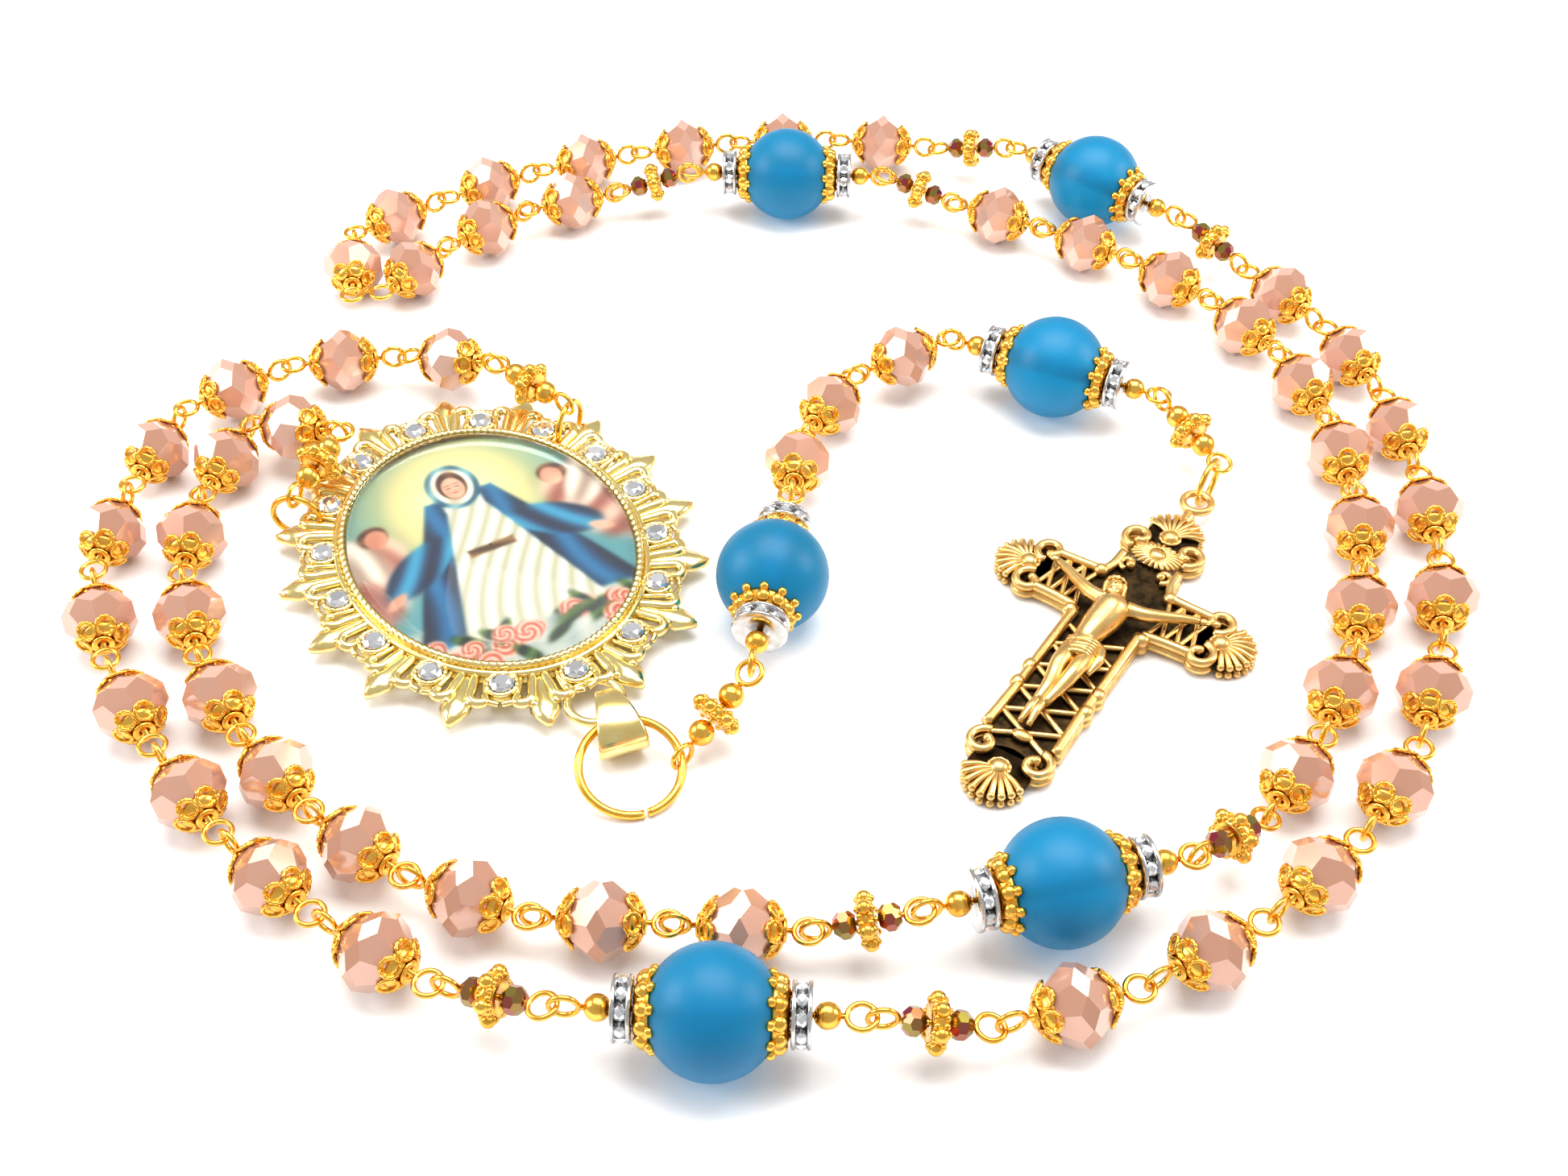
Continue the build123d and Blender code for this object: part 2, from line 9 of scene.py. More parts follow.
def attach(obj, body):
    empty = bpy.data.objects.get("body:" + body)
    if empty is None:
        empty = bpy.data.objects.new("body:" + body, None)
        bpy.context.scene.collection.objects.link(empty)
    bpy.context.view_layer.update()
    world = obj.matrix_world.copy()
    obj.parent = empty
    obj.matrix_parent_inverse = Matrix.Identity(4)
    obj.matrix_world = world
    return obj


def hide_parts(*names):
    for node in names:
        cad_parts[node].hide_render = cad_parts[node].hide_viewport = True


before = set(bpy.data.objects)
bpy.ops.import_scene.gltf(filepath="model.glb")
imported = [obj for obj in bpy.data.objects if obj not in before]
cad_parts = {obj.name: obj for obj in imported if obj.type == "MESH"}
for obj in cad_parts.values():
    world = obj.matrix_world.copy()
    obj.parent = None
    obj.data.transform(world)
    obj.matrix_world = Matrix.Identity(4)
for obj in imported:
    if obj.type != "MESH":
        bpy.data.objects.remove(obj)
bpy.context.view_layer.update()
MM = 0.001
rng = np.random.default_rng(7)


# ------------------------------------------------------------------ materials
def principled(name, **settings):
    material = bpy.data.materials.new(name)
    material.use_nodes = True
    shader = material.node_tree.nodes["Principled BSDF"]
    for key, value in settings.items():
        shader.inputs[key.replace("_", " ")].default_value = value
    return material, material.node_tree, shader


def add_bump(tree, shader, scale, strength, distance=0.00005, detail=3.0):
    """Fine surface relief from noise in object space."""
    place = tree.nodes.new("ShaderNodeTexCoord")
    noise = tree.nodes.new("ShaderNodeTexNoise")
    noise.inputs["Scale"].default_value = scale
    noise.inputs["Detail"].default_value = detail
    bump = tree.nodes.new("ShaderNodeBump")
    bump.inputs["Strength"].default_value = strength
    bump.inputs["Distance"].default_value = distance
    tree.links.new(place.outputs["Object"], noise.inputs["Vector"])
    tree.links.new(noise.outputs["Fac"], bump.inputs["Height"])
    tree.links.new(bump.outputs["Normal"], shader.inputs["Normal"])
    return noise


def add_ramp(tree, source, target, low, high, start=0.35, end=0.65):
    ramp = tree.nodes.new("ShaderNodeValToRGB")
    ramp.color_ramp.elements[0].position = start
    ramp.color_ramp.elements[1].position = end
    ramp.color_ramp.elements[0].color = low
    ramp.color_ramp.elements[1].color = high
    tree.links.new(source, ramp.inputs["Fac"])
    tree.links.new(ramp.outputs["Color"], target)
    return ramp


def grey(value):
    return (value, value, value, 1)


def metal(name, low, high, rough_low, rough_high, scale=900.0, bump=0.15):
    material, tree, shader = principled(name, Metallic=1.0)
    noise = add_bump(tree, shader, scale, bump)
    add_ramp(tree, noise.outputs["Fac"], shader.inputs["Base Color"], low, high)
    add_ramp(tree, noise.outputs["Fac"], shader.inputs["Roughness"], grey(rough_high), grey(rough_low))
    return material


GOLD = metal("gold_plate", (0.80, 0.40, 0.05, 1), (0.95, 0.56, 0.10, 1), 0.16, 0.28)
PALE_GOLD = metal("cast_gold", (0.82, 0.62, 0.22, 1), (0.93, 0.76, 0.34, 1), 0.14, 0.26, 500.0, 0.3)
CROSS_GOLD = metal("antique_gold", (0.62, 0.38, 0.12, 1), (0.84, 0.56, 0.21, 1), 0.24, 0.4, 700.0, 0.4)
# Near-black metal for the sheet behind the crucifix's openwork: painted shade, standing in for the shadow seen
# through its holes.
PAINTED_SHADE = metal("painted_shade_metal", (0.018, 0.012, 0.006, 1), (0.06, 0.035, 0.014, 1), 0.45, 0.65, 800.0, 0.5)
SILVER = metal("silver_rim", (0.50, 0.49, 0.48, 1), (0.68, 0.67, 0.66, 1), 0.14, 0.24)


def faceted_material(name, low, high, metallic, roughness, coat=0.0):
    """Colour varies from facet to facet through a stored per-face value: painted reflection, with lit and shaded
    facets standing in for the studio mirrored in the cut.
    """
    material, tree, shader = principled(name, Metallic=metallic, Roughness=roughness, Coat_Weight=coat)
    shader.inputs["Coat Roughness"].default_value = 0.04
    facet_reflection = tree.nodes.new("ShaderNodeAttribute")
    facet_reflection.attribute_name = "facet_reflection"
    add_ramp(tree, facet_reflection.outputs["Fac"], shader.inputs["Base Color"], low, high, 0.0, 1.0)
    add_bump(tree, shader, 260.0, 0.05, 0.0001)
    return material


# Painted reflection: how far each facet sits between the dark and the light colour stands in for lit and shaded
# facets; on the seeds the red-to-olive spread is a painted iridescent sheen.
PEACH = faceted_material("peach_crystal", (0.42, 0.15, 0.05, 1), (0.82, 0.52, 0.42, 1), 0.40, 0.14, 0.6)
RHINESTONE = faceted_material("rhinestone", (0.50, 0.51, 0.53, 1), (0.97, 0.97, 0.98, 1), 0.9, 0.05)
SEED = faceted_material("iridescent_seed", (0.35, 0.02, 0.05, 1), (0.28, 0.22, 0.03, 1), 0.9, 0.14, 0.5)

BLUE, blue_tree, blue_shader = principled(
    "blue_glass", Roughness=0.42, Transmission_Weight=0.55, IOR=1.35,
    Subsurface_Weight=0.35, Subsurface_Scale=0.004,
)
blue_shader.inputs["Base Color"].default_value = (0.0, 0.27, 0.52, 1)
blue_shader.inputs["Subsurface Radius"].default_value = (0.2, 0.9, 1.0)
add_bump(blue_tree, blue_shader, 2600.0, 0.25, 0.00004)

CHANNEL, channel_tree, channel_shader = principled("drilled_channel", Roughness=0.5)
channel_shader.inputs["Base Color"].default_value = (0.05, 0.60, 0.75, 1)
add_bump(channel_tree, channel_shader, 900.0, 0.2)

PICTURE, picture_tree, picture_shader = principled(
    "picture_under_glass", Roughness=0.35, Coat_Weight=1.0, Coat_Roughness=0.02, Coat_IOR=1.5
)
paint = picture_tree.nodes.new("ShaderNodeAttribute")
paint.attribute_name = "paint"
picture_tree.links.new(paint.outputs["Color"], picture_shader.inputs["Base Color"])
add_bump(picture_tree, picture_shader, 120.0, 0.02, 0.0001)


# ------------------------------------------------------------------ mesh building, in millimetres
class Shape:
    """Collects vertices and faces; each face keeps a material number and a smooth flag."""

    def __init__(self):
        self.points = []
        self.faces = []
        self.slots = []
        self.smooth = []
        self.count = 0

    def add(self, points, faces, slot=0, smooth=True):
        points = np.asarray(points, float)
        self.points.append(points)
        for face in faces:
            self.faces.append([int(i) + self.count for i in face])
            self.slots.append(slot)
            self.smooth.append(smooth)
        self.count += len(points)

    def mesh(self, name, materials, facet_reflection=None):
        mesh = bpy.data.meshes.new(name)
        points = np.vstack(self.points) * MM
        mesh.from_pydata(points.tolist(), [], self.faces)
        mesh.polygons.foreach_set("material_index", self.slots)
        mesh.polygons.foreach_set("use_smooth", self.smooth)
        for material in materials:
            mesh.materials.append(material)
        # A per-face value for the painted reflections of cut facets.
        if facet_reflection is not None:
            layer = mesh.attributes.new("facet_reflection", "FLOAT", "FACE")
            layer.data.foreach_set("value", facet_reflection(mesh))
        mesh.update()
        return mesh


def ring_faces(rows, columns, wrap_rows=False, wrap_columns=True):
    faces = []
    for i in range(rows if wrap_rows else rows - 1):
        for j in range(columns if wrap_columns else columns - 1):
            a = i * columns + j
            b = i * columns + (j + 1) % columns
            c = ((i + 1) % rows) * columns + (j + 1) % columns
            d = ((i + 1) % rows) * columns + j
            faces.append((a, b, c, d))
    return faces


def turned(profile, sides=40):
    """A closed profile of (along X, radius) points turned about X."""
    turn = np.linspace(0, 2 * math.pi, sides, endpoint=False)
    rows = [np.c_[np.full(sides, x), r * np.cos(turn), r * np.sin(turn)] for x, r in profile]
    return np.vstack(rows), ring_faces(len(profile), sides, wrap_rows=True)


def tube(path, radius, sides=10, closed=False, up=None):
    """A round tube along a path; radius is one number or one per point."""
    path = np.asarray(path, float)
    count = len(path)
    radius = np.broadcast_to(np.asarray(radius, float), (count,))
    if closed:
        tangent = np.roll(path, -1, 0) - np.roll(path, 1, 0)
    else:
        tangent = np.gradient(path, axis=0)
    tangent /= np.linalg.norm(tangent, axis=1)[:, None]
    normal = np.array(up if up is not None else (0.0, 0.0, 1.0), float)
    if abs(normal @ tangent[0]) > 0.9:
        normal = np.array((0.0, 1.0, 0.0))
    turn = np.linspace(0, 2 * math.pi, sides, endpoint=False)
    rows = []
    for point, along, r in zip(path, tangent, radius):
        side = normal - along * (normal @ along)
        side /= np.linalg.norm(side)
        if up is None:
            normal = side
        other = np.cross(along, side)
        rows.append(point + r * (np.cos(turn)[:, None] * side + np.sin(turn)[:, None] * other))
    faces = ring_faces(count, sides, wrap_rows=closed)
    if not closed:
        faces.append(tuple(range(sides - 1, -1, -1)))
        faces.append(tuple(range((count - 1) * sides, count * sides)))
    return np.vstack(rows), faces


def ball(centre, radii, sides=20, rows=12, axes=None):
    """An ellipsoid; axes are its three directions as rows."""
    radii = np.broadcast_to(np.asarray(radii, float), (3,))
    turn = np.linspace(0, 2 * math.pi, sides, endpoint=False)
    points = [(0, 0, -1)]
    for k in range(1, rows):
        lat = -math.pi / 2 + math.pi * k / rows
        points += [(math.cos(lat) * math.cos(t), math.cos(lat) * math.sin(t), math.sin(lat)) for t in turn]
    points.append((0, 0, 1))
    points = np.array(points) * radii
    if axes is not None:
        points = points @ np.asarray(axes, float)
    faces = [(0, 1 + (j + 1) % sides, 1 + j) for j in range(sides)]
    for k in range(rows - 2):
        for j in range(sides):
            a = 1 + k * sides + j
            b = 1 + k * sides + (j + 1) % sides
            faces.append((a, b, b + sides, a + sides))
    top = len(points) - 1
    base = 1 + (rows - 2) * sides
    faces += [(base + j, base + (j + 1) % sides, top) for j in range(sides)]
    return points + np.asarray(centre, float), faces


def circle_path(centre, radius, first, second, count=40, start=0.0, sweep=2 * math.pi, second_radius=None):
    turn = start + np.linspace(0, sweep, count, endpoint=abs(sweep) < 6.28)
    b = radius if second_radius is None else second_radius
    return (np.asarray(centre, float) + radius * np.cos(turn)[:, None] * np.asarray(first, float)
            + b * np.sin(turn)[:, None] * np.asarray(second, float))


def cut_gem(planes):
    """The convex solid inside a set of (normal, distance) planes, its flat facets kept whole."""
    normals = np.array([n for n, _ in planes])
    reach = np.array([d for _, d in planes])
    corners = []
    count = len(planes)
    for i in range(count):
        for j in range(i + 1, count):
            for k in range(j + 1, count):
                matrix = normals[[i, j, k]]
                if abs(np.linalg.det(matrix)) < 1e-3:
                    continue
                point = np.linalg.solve(matrix, reach[[i, j, k]])
                if np.all(normals @ point <= reach + 1e-6):
                    corners.append(point)
    bm = bmesh.new()
    seen = []
    for corner in corners:
        if all(np.linalg.norm(corner - other) > 1e-4 for other in seen):
            seen.append(corner)
            bm.verts.new(corner)
    bmesh.ops.convex_hull(bm, input=bm.verts)
    bmesh.ops.dissolve_limit(bm, angle_limit=0.02, verts=bm.verts, edges=bm.edges)
    bm.verts.ensure_lookup_table()
    points = [tuple(v.co) for v in bm.verts]
    faces = [[v.index for v in f.verts] for f in bm.faces]
    bm.free()
    return points, faces


def facet_planes(rows, count):
    planes = []
    for latitude, distance, phase in rows:
        for side in (1, -1) if latitude else (1,):
            for k in range(count):
                azimuth = 2 * math.pi * (k + phase) / count
                tilt = math.radians(latitude)
                planes.append(((side * math.sin(tilt), math.cos(tilt) * math.cos(azimuth),
                                math.cos(tilt) * math.sin(azimuth)), distance))
    return planes


# Random per-face values for the painted reflections of cut facets: each facet is lit or shaded at random.
def random_facet_reflection(mesh):
    return rng.uniform(0, 1, len(mesh.polygons)) ** 0.7


# ------------------------------------------------------------------ the chain's layout, as in the CAD
WIRE_R = 0.27
LOOP_R = 1.3
TAUT = 2.0
LENGTH = {"hail_mary": 12.0, "our_father": 25.5, "seed_spacer": 9.5, "ball_spacer": 10.7}
RUN_HEIGHT = 3.95
GLASS_HEIGHT = 6.05
RING_TOP = 5.7
OVER_FRAME = 6.4
RING_R = 2.65
DECADE = ["hail_mary"] * 10
GROUP = ["seed_spacer", "our_father", "seed_spacer"]
OUTER_ROUTE = [
    (-3, 28), (-14, 32), (-27, 30), (-38, 22), (-41, 9), (-42, -5), (-37, -19), (-29, -31),
    (-19, -43), (-8, -52), (4, -59), (12, -61), (37, -62), (49, -62), (63, -58), (77, -50),
    (89, -39), (97, -26), (102, -11), (104, 3), (104, 18), (102, 32), (95, 45), (87, 55),
    (80, 63), (63, 76), (52, 79), (38, 81), (24, 80), (10, 77), (-4, 72), (-15, 65), (-28, 55),
    (-20, 40), (-18, 30),
]
INNER_ROUTE = [
    (-17, 18), (-31, 19), (-33, 5), (-32, -8), (-27, -20), (-19, -32), (-10, -41), (1, -48),
    (12, -51), (24, -51), (36, -52), (46, -51), (70, -45), (77, -40), (84, -31), (90, -20),
    (94, -8), (96, 4), (96, 18), (94, 29), (89, 39), (81, 49), (68, 58), (57, 64), (47, 68),
    (24, 70), (11, 68), (-1, 64), (-10, 57), (-18, 47), (-20, 40), (-20, 20),
]
PENDANT_ROUTE = [
    (30, -21), (33, -9), (33, 8), (35, 21), (44, 32), (60, 33), (75, 23), (83, 10),
]


def unit(vector):
    vector = np.asarray(vector, float)
    return vector / np.linalg.norm(vector)


def placement(origin, x_dir, z_dir):
    """Matrix in metres for a frame given in millimetres."""
    x_dir, z_dir = unit(x_dir), unit(z_dir)
    y_dir = np.cross(z_dir, x_dir)
    matrix = Matrix.Identity(4)
    for row in range(3):
        matrix[row][0] = x_dir[row]
        matrix[row][1] = y_dir[row]
        matrix[row][2] = z_dir[row]
        matrix[row][3] = origin[row] * MM
    return matrix


def loop_heights(kinds, first, second):
    heights = [RUN_HEIGHT] * (len(kinds) + 1)
    for index, kind in enumerate(kinds):
        if kind == "our_father":
            heights[index] = GLASS_HEIGHT
            heights[index + 1] = GLASS_HEIGHT
    heights[0] = first
    heights[1] = second
    return heights


def lay_chain(route, kinds, slacks, heights, first_step):
    route = [np.array(point, float) for point in route]
    loop = route[0]
    segment = 0
    placed = []
    for index, kind in enumerate(kinds):
        step = first_step if index == 0 else TAUT - slacks[index]
        reach = LENGTH[kind] + step
        flat = math.sqrt(reach**2 - (heights[index + 1] - heights[index])**2)
        while np.linalg.norm(route[segment + 1] - loop) < flat:
            segment += 1
        run = unit(route[segment + 1] - route[segment])
        offset = route[segment] - loop
        half_b = offset @ run
        target = route[segment] + run * (-half_b + math.sqrt(half_b**2 - offset @ offset + flat**2))
        low = np.append(loop, heights[index])
        along = unit(np.append(target, heights[index + 1]) - low)
        across = unit(np.cross((0, 0, 1), along))
        placed.append(placement(low + along * (step + LENGTH[kind] / 2), along, np.cross(along, across)))
        loop = target
    return placed, loop


# ------------------------------------------------------------------ the links' pieces
def eye_pin(length):
    shape = Shape()
    half = length / 2
    shape.add(*tube([(LOOP_R - half, 0, 0), (0, 0, 0), (half - LOOP_R, 0, 0)], WIRE_R * 0.98, 12))
    for centre, axis in (((-half, 0, 0), (0, 0, 1)), ((half, 0, 0), (0, 1, 0))):
        inward = 1 if centre[0] < 0 else -1
        shape.add(*tube(
            circle_path(centre, LOOP_R, (inward, 0, 0), axis, 36, 0.0, 2 * math.pi), WIRE_R * 0.98, 12,
            closed=True, up=np.cross((1, 0, 0), axis)))
    return shape


def milled_ring(shape, centre, radius, wire, first, second, teeth=10, slot=0, depth=0.28):
    """A ring of wire with a milled, beaded surface."""
    count = teeth * 4
    path = circle_path(centre, radius, first, second, count)
    swell = wire * (1 - depth / 2 + depth / 2 * np.cos(np.arange(count) * math.pi / 2))
    shape.add(*tube(path, swell, 8, closed=True, up=np.cross(first, second)), slot)


def flower_cap(shape, side, phase):
    """Six cupped round petals with milled rims about a collar ring."""
    for k in range(6):
        turn = 2 * math.pi * k / 6 + phase
        radial = np.array((0, math.cos(turn), math.sin(turn)))
        tangent = np.array((0, -math.sin(turn), math.cos(turn)))
        normal = unit(np.array((side * 0.74, 0, 0)) + radial * 0.67)
        slope = unit(np.cross(tangent, normal))
        centre = np.array((side * 2.95, 0, 0)) + radial * 1.95
        milled_ring(shape, centre + normal * 0.08, 0.92, 0.21, tangent, slope, 11)
        dish = [centre - normal * 0.26]
        rings = 4
        sides = 18
        for ring in range(1, rings + 1):
            share = ring / rings
            lift = -0.26 + 0.36 * share**2 + 0.035 * math.sin(ring * 2.4 + k)
            for j in range(sides):
                a = 2 * math.pi * j / sides
                dish.append(centre + normal * lift
                            + 0.9 * share * (math.cos(a) * tangent + math.sin(a) * slope))
        back = [point - normal * 0.14 for point in dish]
        faces = [(0, 1 + j, 1 + (j + 1) % sides) for j in range(sides)]
        faces += [tuple(i + 1 for i in face) for face in ring_faces(rings, sides)]
        flip = [tuple(i + len(dish) for i in reversed(face)) for face in faces]
        rim = 1 + (rings - 1) * sides
        edge = [(rim + j, rim + j + len(dish), rim + (j + 1) % sides + len(dish), rim + (j + 1) % sides)
                for j in range(sides)]
        shape.add(dish + back, faces + flip + edge)


def turned_both(shape, profile, sides=40, slot=0):
    for side in (1, -1):
        shape.add(*turned([(side * x, r) for x, r in profile], sides), slot)


def hail_mary_metal():
    shape = eye_pin(LENGTH["hail_mary"])
    turned_both(shape, [
        (2.5, 0.45), (2.5, 2.15), (3.0, 2.05), (3.45, 1.5), (3.6, 0.95), (3.72, 1.12), (3.9, 1.18),
        (4.06, 1.08), (4.1, 0.9), (4.02, 0.62), (3.7, 0.45)])
    for side, phase in ((1, 0.15), (-1, 0.4)):
        flower_cap(shape, side, phase)
    return shape


def crystal_bead():
    shape = Shape()
    rows = [(0, 3.6, 0.0), (35, 3.22, 22.5 / 45), (62, 3.3, 0.0)]
    planes = facet_planes(rows, 8) + [((1, 0, 0), 3.1), ((-1, 0, 0), 3.1)]
    shape.add(*cut_gem(planes), smooth=False)
    return shape


def glass_ball():
    shape = Shape()
    shape.add(*ball((0, 0, 0), 5.98, 56, 36))
    return shape


def glass_channel():
    shape = Shape()
    shape.add(*turned([(-5.6, 0.3), (-5.6, 0.75), (5.6, 0.75), (5.6, 0.3)], 20))
    return shape


LITTLE_BALL_AT = 9.83


def our_father_metal():
    shape = eye_pin(LENGTH["our_father"])
    seat = 6.03
    arc = [(seat * math.cos(a), seat * math.sin(a)) for a in np.linspace(0.56, 0.1, 7)]
    turned_both(shape, arc + [(6.6, 0.45), (6.66, 1.2), (6.6, 2.2), (6.2, 2.8), (5.5, 3.15)])
    for side in (1, -1):
        for k in range(11):
            turn = 2 * math.pi * (k + 0.25 * side) / 11
            radial = np.array((0, math.cos(turn), math.sin(turn)))
            tangent = np.array((0, -math.sin(turn), math.cos(turn)))
            along = np.array((side, 0, 0))
            axes = [along, radial, tangent]
            shape.add(*ball(along * 5.75 + radial * 2.75, (0.8, 0.75, 0.78), 12, 8, axes))
            shape.add(*ball(along * 5.08 + radial * 3.42, 0.5, 10, 7))
            shape.add(*ball(along * 6.33 + radial * 1.85, 0.42, 9, 6))
        shape.add(*ball((side * LITTLE_BALL_AT, 0, 0), 1.23, 24, 14))
    return shape


def rondelle_metal():
    shape = Shape()
    near = 6.75
    for side in (1, -1):
        for start in (near, near + 1.38):
            shape.add(*turned([
                (side * start, 0.45), (side * start, 2.75), (side * (start + 0.08), 2.95),
                (side * (start + 0.34), 2.95), (side * (start + 0.42), 2.75), (side * (start + 0.42), 0.45),
            ], 44))
        shape.add(*turned([(side * (near + 0.3), 0.45), (side * (near + 0.3), 1.95),
                           (side * (near + 1.5), 1.95), (side * (near + 1.5), 0.45)], 30))
    return shape


def convex(points):
    bm = bmesh.new()
    for point in points:
        bm.verts.new(point)
    bmesh.ops.convex_hull(bm, input=bm.verts)
    loose = [v for v in bm.verts if not v.link_faces]
    bmesh.ops.delete(bm, geom=loose, context="VERTS")
    bmesh.ops.dissolve_limit(bm, angle_limit=0.02, verts=bm.verts, edges=bm.edges)
    bm.verts.ensure_lookup_table()
    bm.verts.index_update()
    result = [tuple(v.co) for v in bm.verts], [[v.index for v in f.verts] for f in bm.faces]
    bm.free()
    return result


def gem(shape, centre, radius, up, across, height=0.5, depth=0.45, sides=8, slot=0):
    """A small brilliant: table, crown facets and a straight girdle."""
    up, across = unit(up), unit(across)
    other = np.cross(up, across)
    points = []
    for share, lift, count, phase in ((0.55, height, sides, 0), (0.84, height * 0.62, sides, 0.5),
                                      (1.0, 0.08, 2 * sides, 0.25), (1.0, -depth, 2 * sides, 0.25)):
        for k in range(count):
            a = 2 * math.pi * (k + phase) / count
            points.append(np.asarray(centre) + up * lift
                          + radius * share * (math.cos(a) * across + math.sin(a) * other))
    shape.add(*convex(points), slot, smooth=False)


def rondelle_stones():
    shape = Shape()
    for side in (1, -1):
        for k in range(9):
            turn = 2 * math.pi * (k + 0.3) / 9
            radial = np.array((0, math.cos(turn), math.sin(turn)))
            gem(shape, np.array((side * 7.65, 0, 0)) + radial * 2.45, 0.66, radial, (1, 0, 0), 0.42, 0.5, 4)
    return shape


def star(shape):
    shape.add(*turned([(-0.75, 0.45), (-0.75, 1.7), (-0.3, 2.0), (0.3, 2.0), (0.75, 1.7), (0.75, 0.45)], 30))
    for k in range(6):
        turn = 2 * math.pi * k / 6 + math.pi / 2
        radial = np.array((0, math.cos(turn), math.sin(turn)))
        tangent = np.array((0, -math.sin(turn), math.cos(turn)))
        shape.add(*ball(radial * 2.1, (0.74, 0.72, 0.7), 12, 8))
        for side in (1, -1):
            shape.add(*ball(np.array((side * 0.62, 0, 0)) + radial * 1.95, 0.36, 9, 6))
            for swing in (1, -1):
                shape.add(*ball(np.array((side * 0.45, 0, 0)) + radial * 1.75 + tangent * swing * 0.62,
                    0.34, 9, 6))


def seed_spacer_metal():
    shape = eye_pin(LENGTH["seed_spacer"])
    star(shape)
    return shape


def seeds():
    shape = Shape()
    for side in (1, -1):
        planes = facet_planes([(0, 1.24, 0), (42, 1.2, 0.5)], 8) + [((1, 0, 0), 1.04), ((-1, 0, 0), 1.04)]
        points, faces = cut_gem(planes)
        shape.add(np.array(points) + (side * 2.07, 0, 0), faces, smooth=False)
    return shape


def ball_spacer_metal():
    shape = eye_pin(LENGTH["ball_spacer"])
    star(shape)
    for side in (1, -1):
        shape.add(*ball((side * 2.37, 0, 0), 1.34, 28, 18))
    return shape


PARTS = {
    "hail_mary": [
        ("crystal", crystal_bead(), [PEACH], "peach_crystal", True),
        ("caps", hail_mary_metal(), [GOLD], "gold_plate", False),
    ],
    "our_father": [
        ("glass", glass_ball(), [BLUE], "blue_glass", False),
        ("channel", glass_channel(), [CHANNEL], "blue_glass", False),
        ("caps", our_father_metal(), [GOLD], "gold_plate", False),
        ("rims", rondelle_metal(), [SILVER], "rhinestone", False),
        ("stones", rondelle_stones(), [RHINESTONE], "rhinestone", True),
    ],
    "seed_spacer": [
        ("star", seed_spacer_metal(), [GOLD], "gold_plate", False),
        ("seeds", seeds(), [SEED], "gold_plate", True),
    ],
    "ball_spacer": [("star", ball_spacer_metal(), [GOLD], "gold_plate", False)],
}
# The last flag of each part asks for the random per-face painted facet reflection.
MESHES = {
    kind: [(label, shape.mesh(f"{kind}_{label}", materials, random_facet_reflection if has_facet_reflection else None), slot)
           for label, shape, materials, slot, has_facet_reflection in parts]
    for kind, parts in PARTS.items()
}


def put(name, mesh, matrix, body, slot, *nodes):
    """Adds a piece with its place in its mesh, as the CAD has it."""
    mesh = mesh.copy()
    mesh.transform(matrix)
    piece = bpy.data.objects.new(name, mesh)
    bpy.context.collection.objects.link(piece)
    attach(piece, body)
    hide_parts(*nodes)
    return piece


def dress_chain(names, kinds, places):
    index = 0
    for name in names:
        for number in range(2 if "beads" in name else 1):
            for label, mesh, slot in MESHES[kinds[index]]:
                put(f"{name}_{label}_{number + 1}", mesh, places[index], name, slot, name)
            index += 1


outer_kinds = ["ball_spacer"] + DECADE + GROUP + DECADE + GROUP + DECADE[:7]
inner_kinds = ["ball_spacer"] + DECADE + GROUP + DECADE + GROUP + DECADE[:3]
pendant_kinds = ["ball_spacer", "our_father"] + DECADE[:3] + ["our_father", "ball_spacer"]
outer_names = ["outer_end_spacer"]
outer_names += [f"decade_1_beads_{k}_{k + 1}" for k in (1, 3, 5, 7, 9)]
outer_names += ["spacer_1_near", "our_father_1", "spacer_1_far"]
outer_names += [f"decade_2_beads_{k}_{k + 1}" for k in (1, 3, 5, 7, 9)]
outer_names += ["spacer_2_near", "our_father_2", "spacer_2_far"]
outer_names += ["decade_3_beads_1_2", "decade_3_beads_3_4"]
outer_names += [f"decade_3_bead_{k}" for k in (5, 6, 7)]
inner_names = ["inner_end_spacer"]
inner_names += [f"decade_5_beads_{k}_{k - 1}" for k in (10, 8, 6, 4, 2)]
inner_names += ["spacer_4_far", "our_father_4", "spacer_4_near"]
inner_names += [f"decade_4_beads_{k}_{k - 1}" for k in (10, 8, 6, 4, 2)]
inner_names += ["spacer_3_far", "our_father_3", "spacer_3_near"]
inner_names += [f"decade_3_bead_{k}" for k in (10, 9, 8)]
pendant_names = ["pendant_spacer_top", "pendant_our_father_top"]
pendant_names += [f"pendant_hail_mary_{k}" for k in (1, 2, 3)]
pendant_names += ["pendant_our_father_low", "pendant_spacer_low"]

BAIL_RING_CENTRE = (17.1306, -31.2023, 2.076)
BAIL_RING_X = (0.33186, -0.89128, -0.30902)
BAIL_RING_Z = (0.10783, -0.28959, 0.95106)
bail_ring_place = placement(BAIL_RING_CENTRE, BAIL_RING_X, BAIL_RING_Z)
pendant_hook = (22.06074, -29.90756, 1.91125)
outer_places, _ = lay_chain(
    [(7.0373, 20.13406)] + OUTER_ROUTE, outer_kinds, [0, 1.3] + [0.2] * 12 + [0.1] + [0] * 9 + [0.4] * 3 + [0.1] * 7,
    loop_heights(outer_kinds, RING_TOP, OVER_FRAME), 0.5)
inner_places, _ = lay_chain(
    [(-21.94981, 4.0716)] + INNER_ROUTE, inner_kinds, [0] + [1.35] * (len(inner_kinds) - 1),
    loop_heights(inner_kinds, RING_TOP, OVER_FRAME), 0.5)
pendant_places, _ = lay_chain(
    [pendant_hook[:2]] + PENDANT_ROUTE, pendant_kinds, [0, 0.6] + [1.3] * 5,
    loop_heights(pendant_kinds, pendant_hook[2], GLASS_HEIGHT), 0.2)
dress_chain(outer_names, outer_kinds, outer_places)
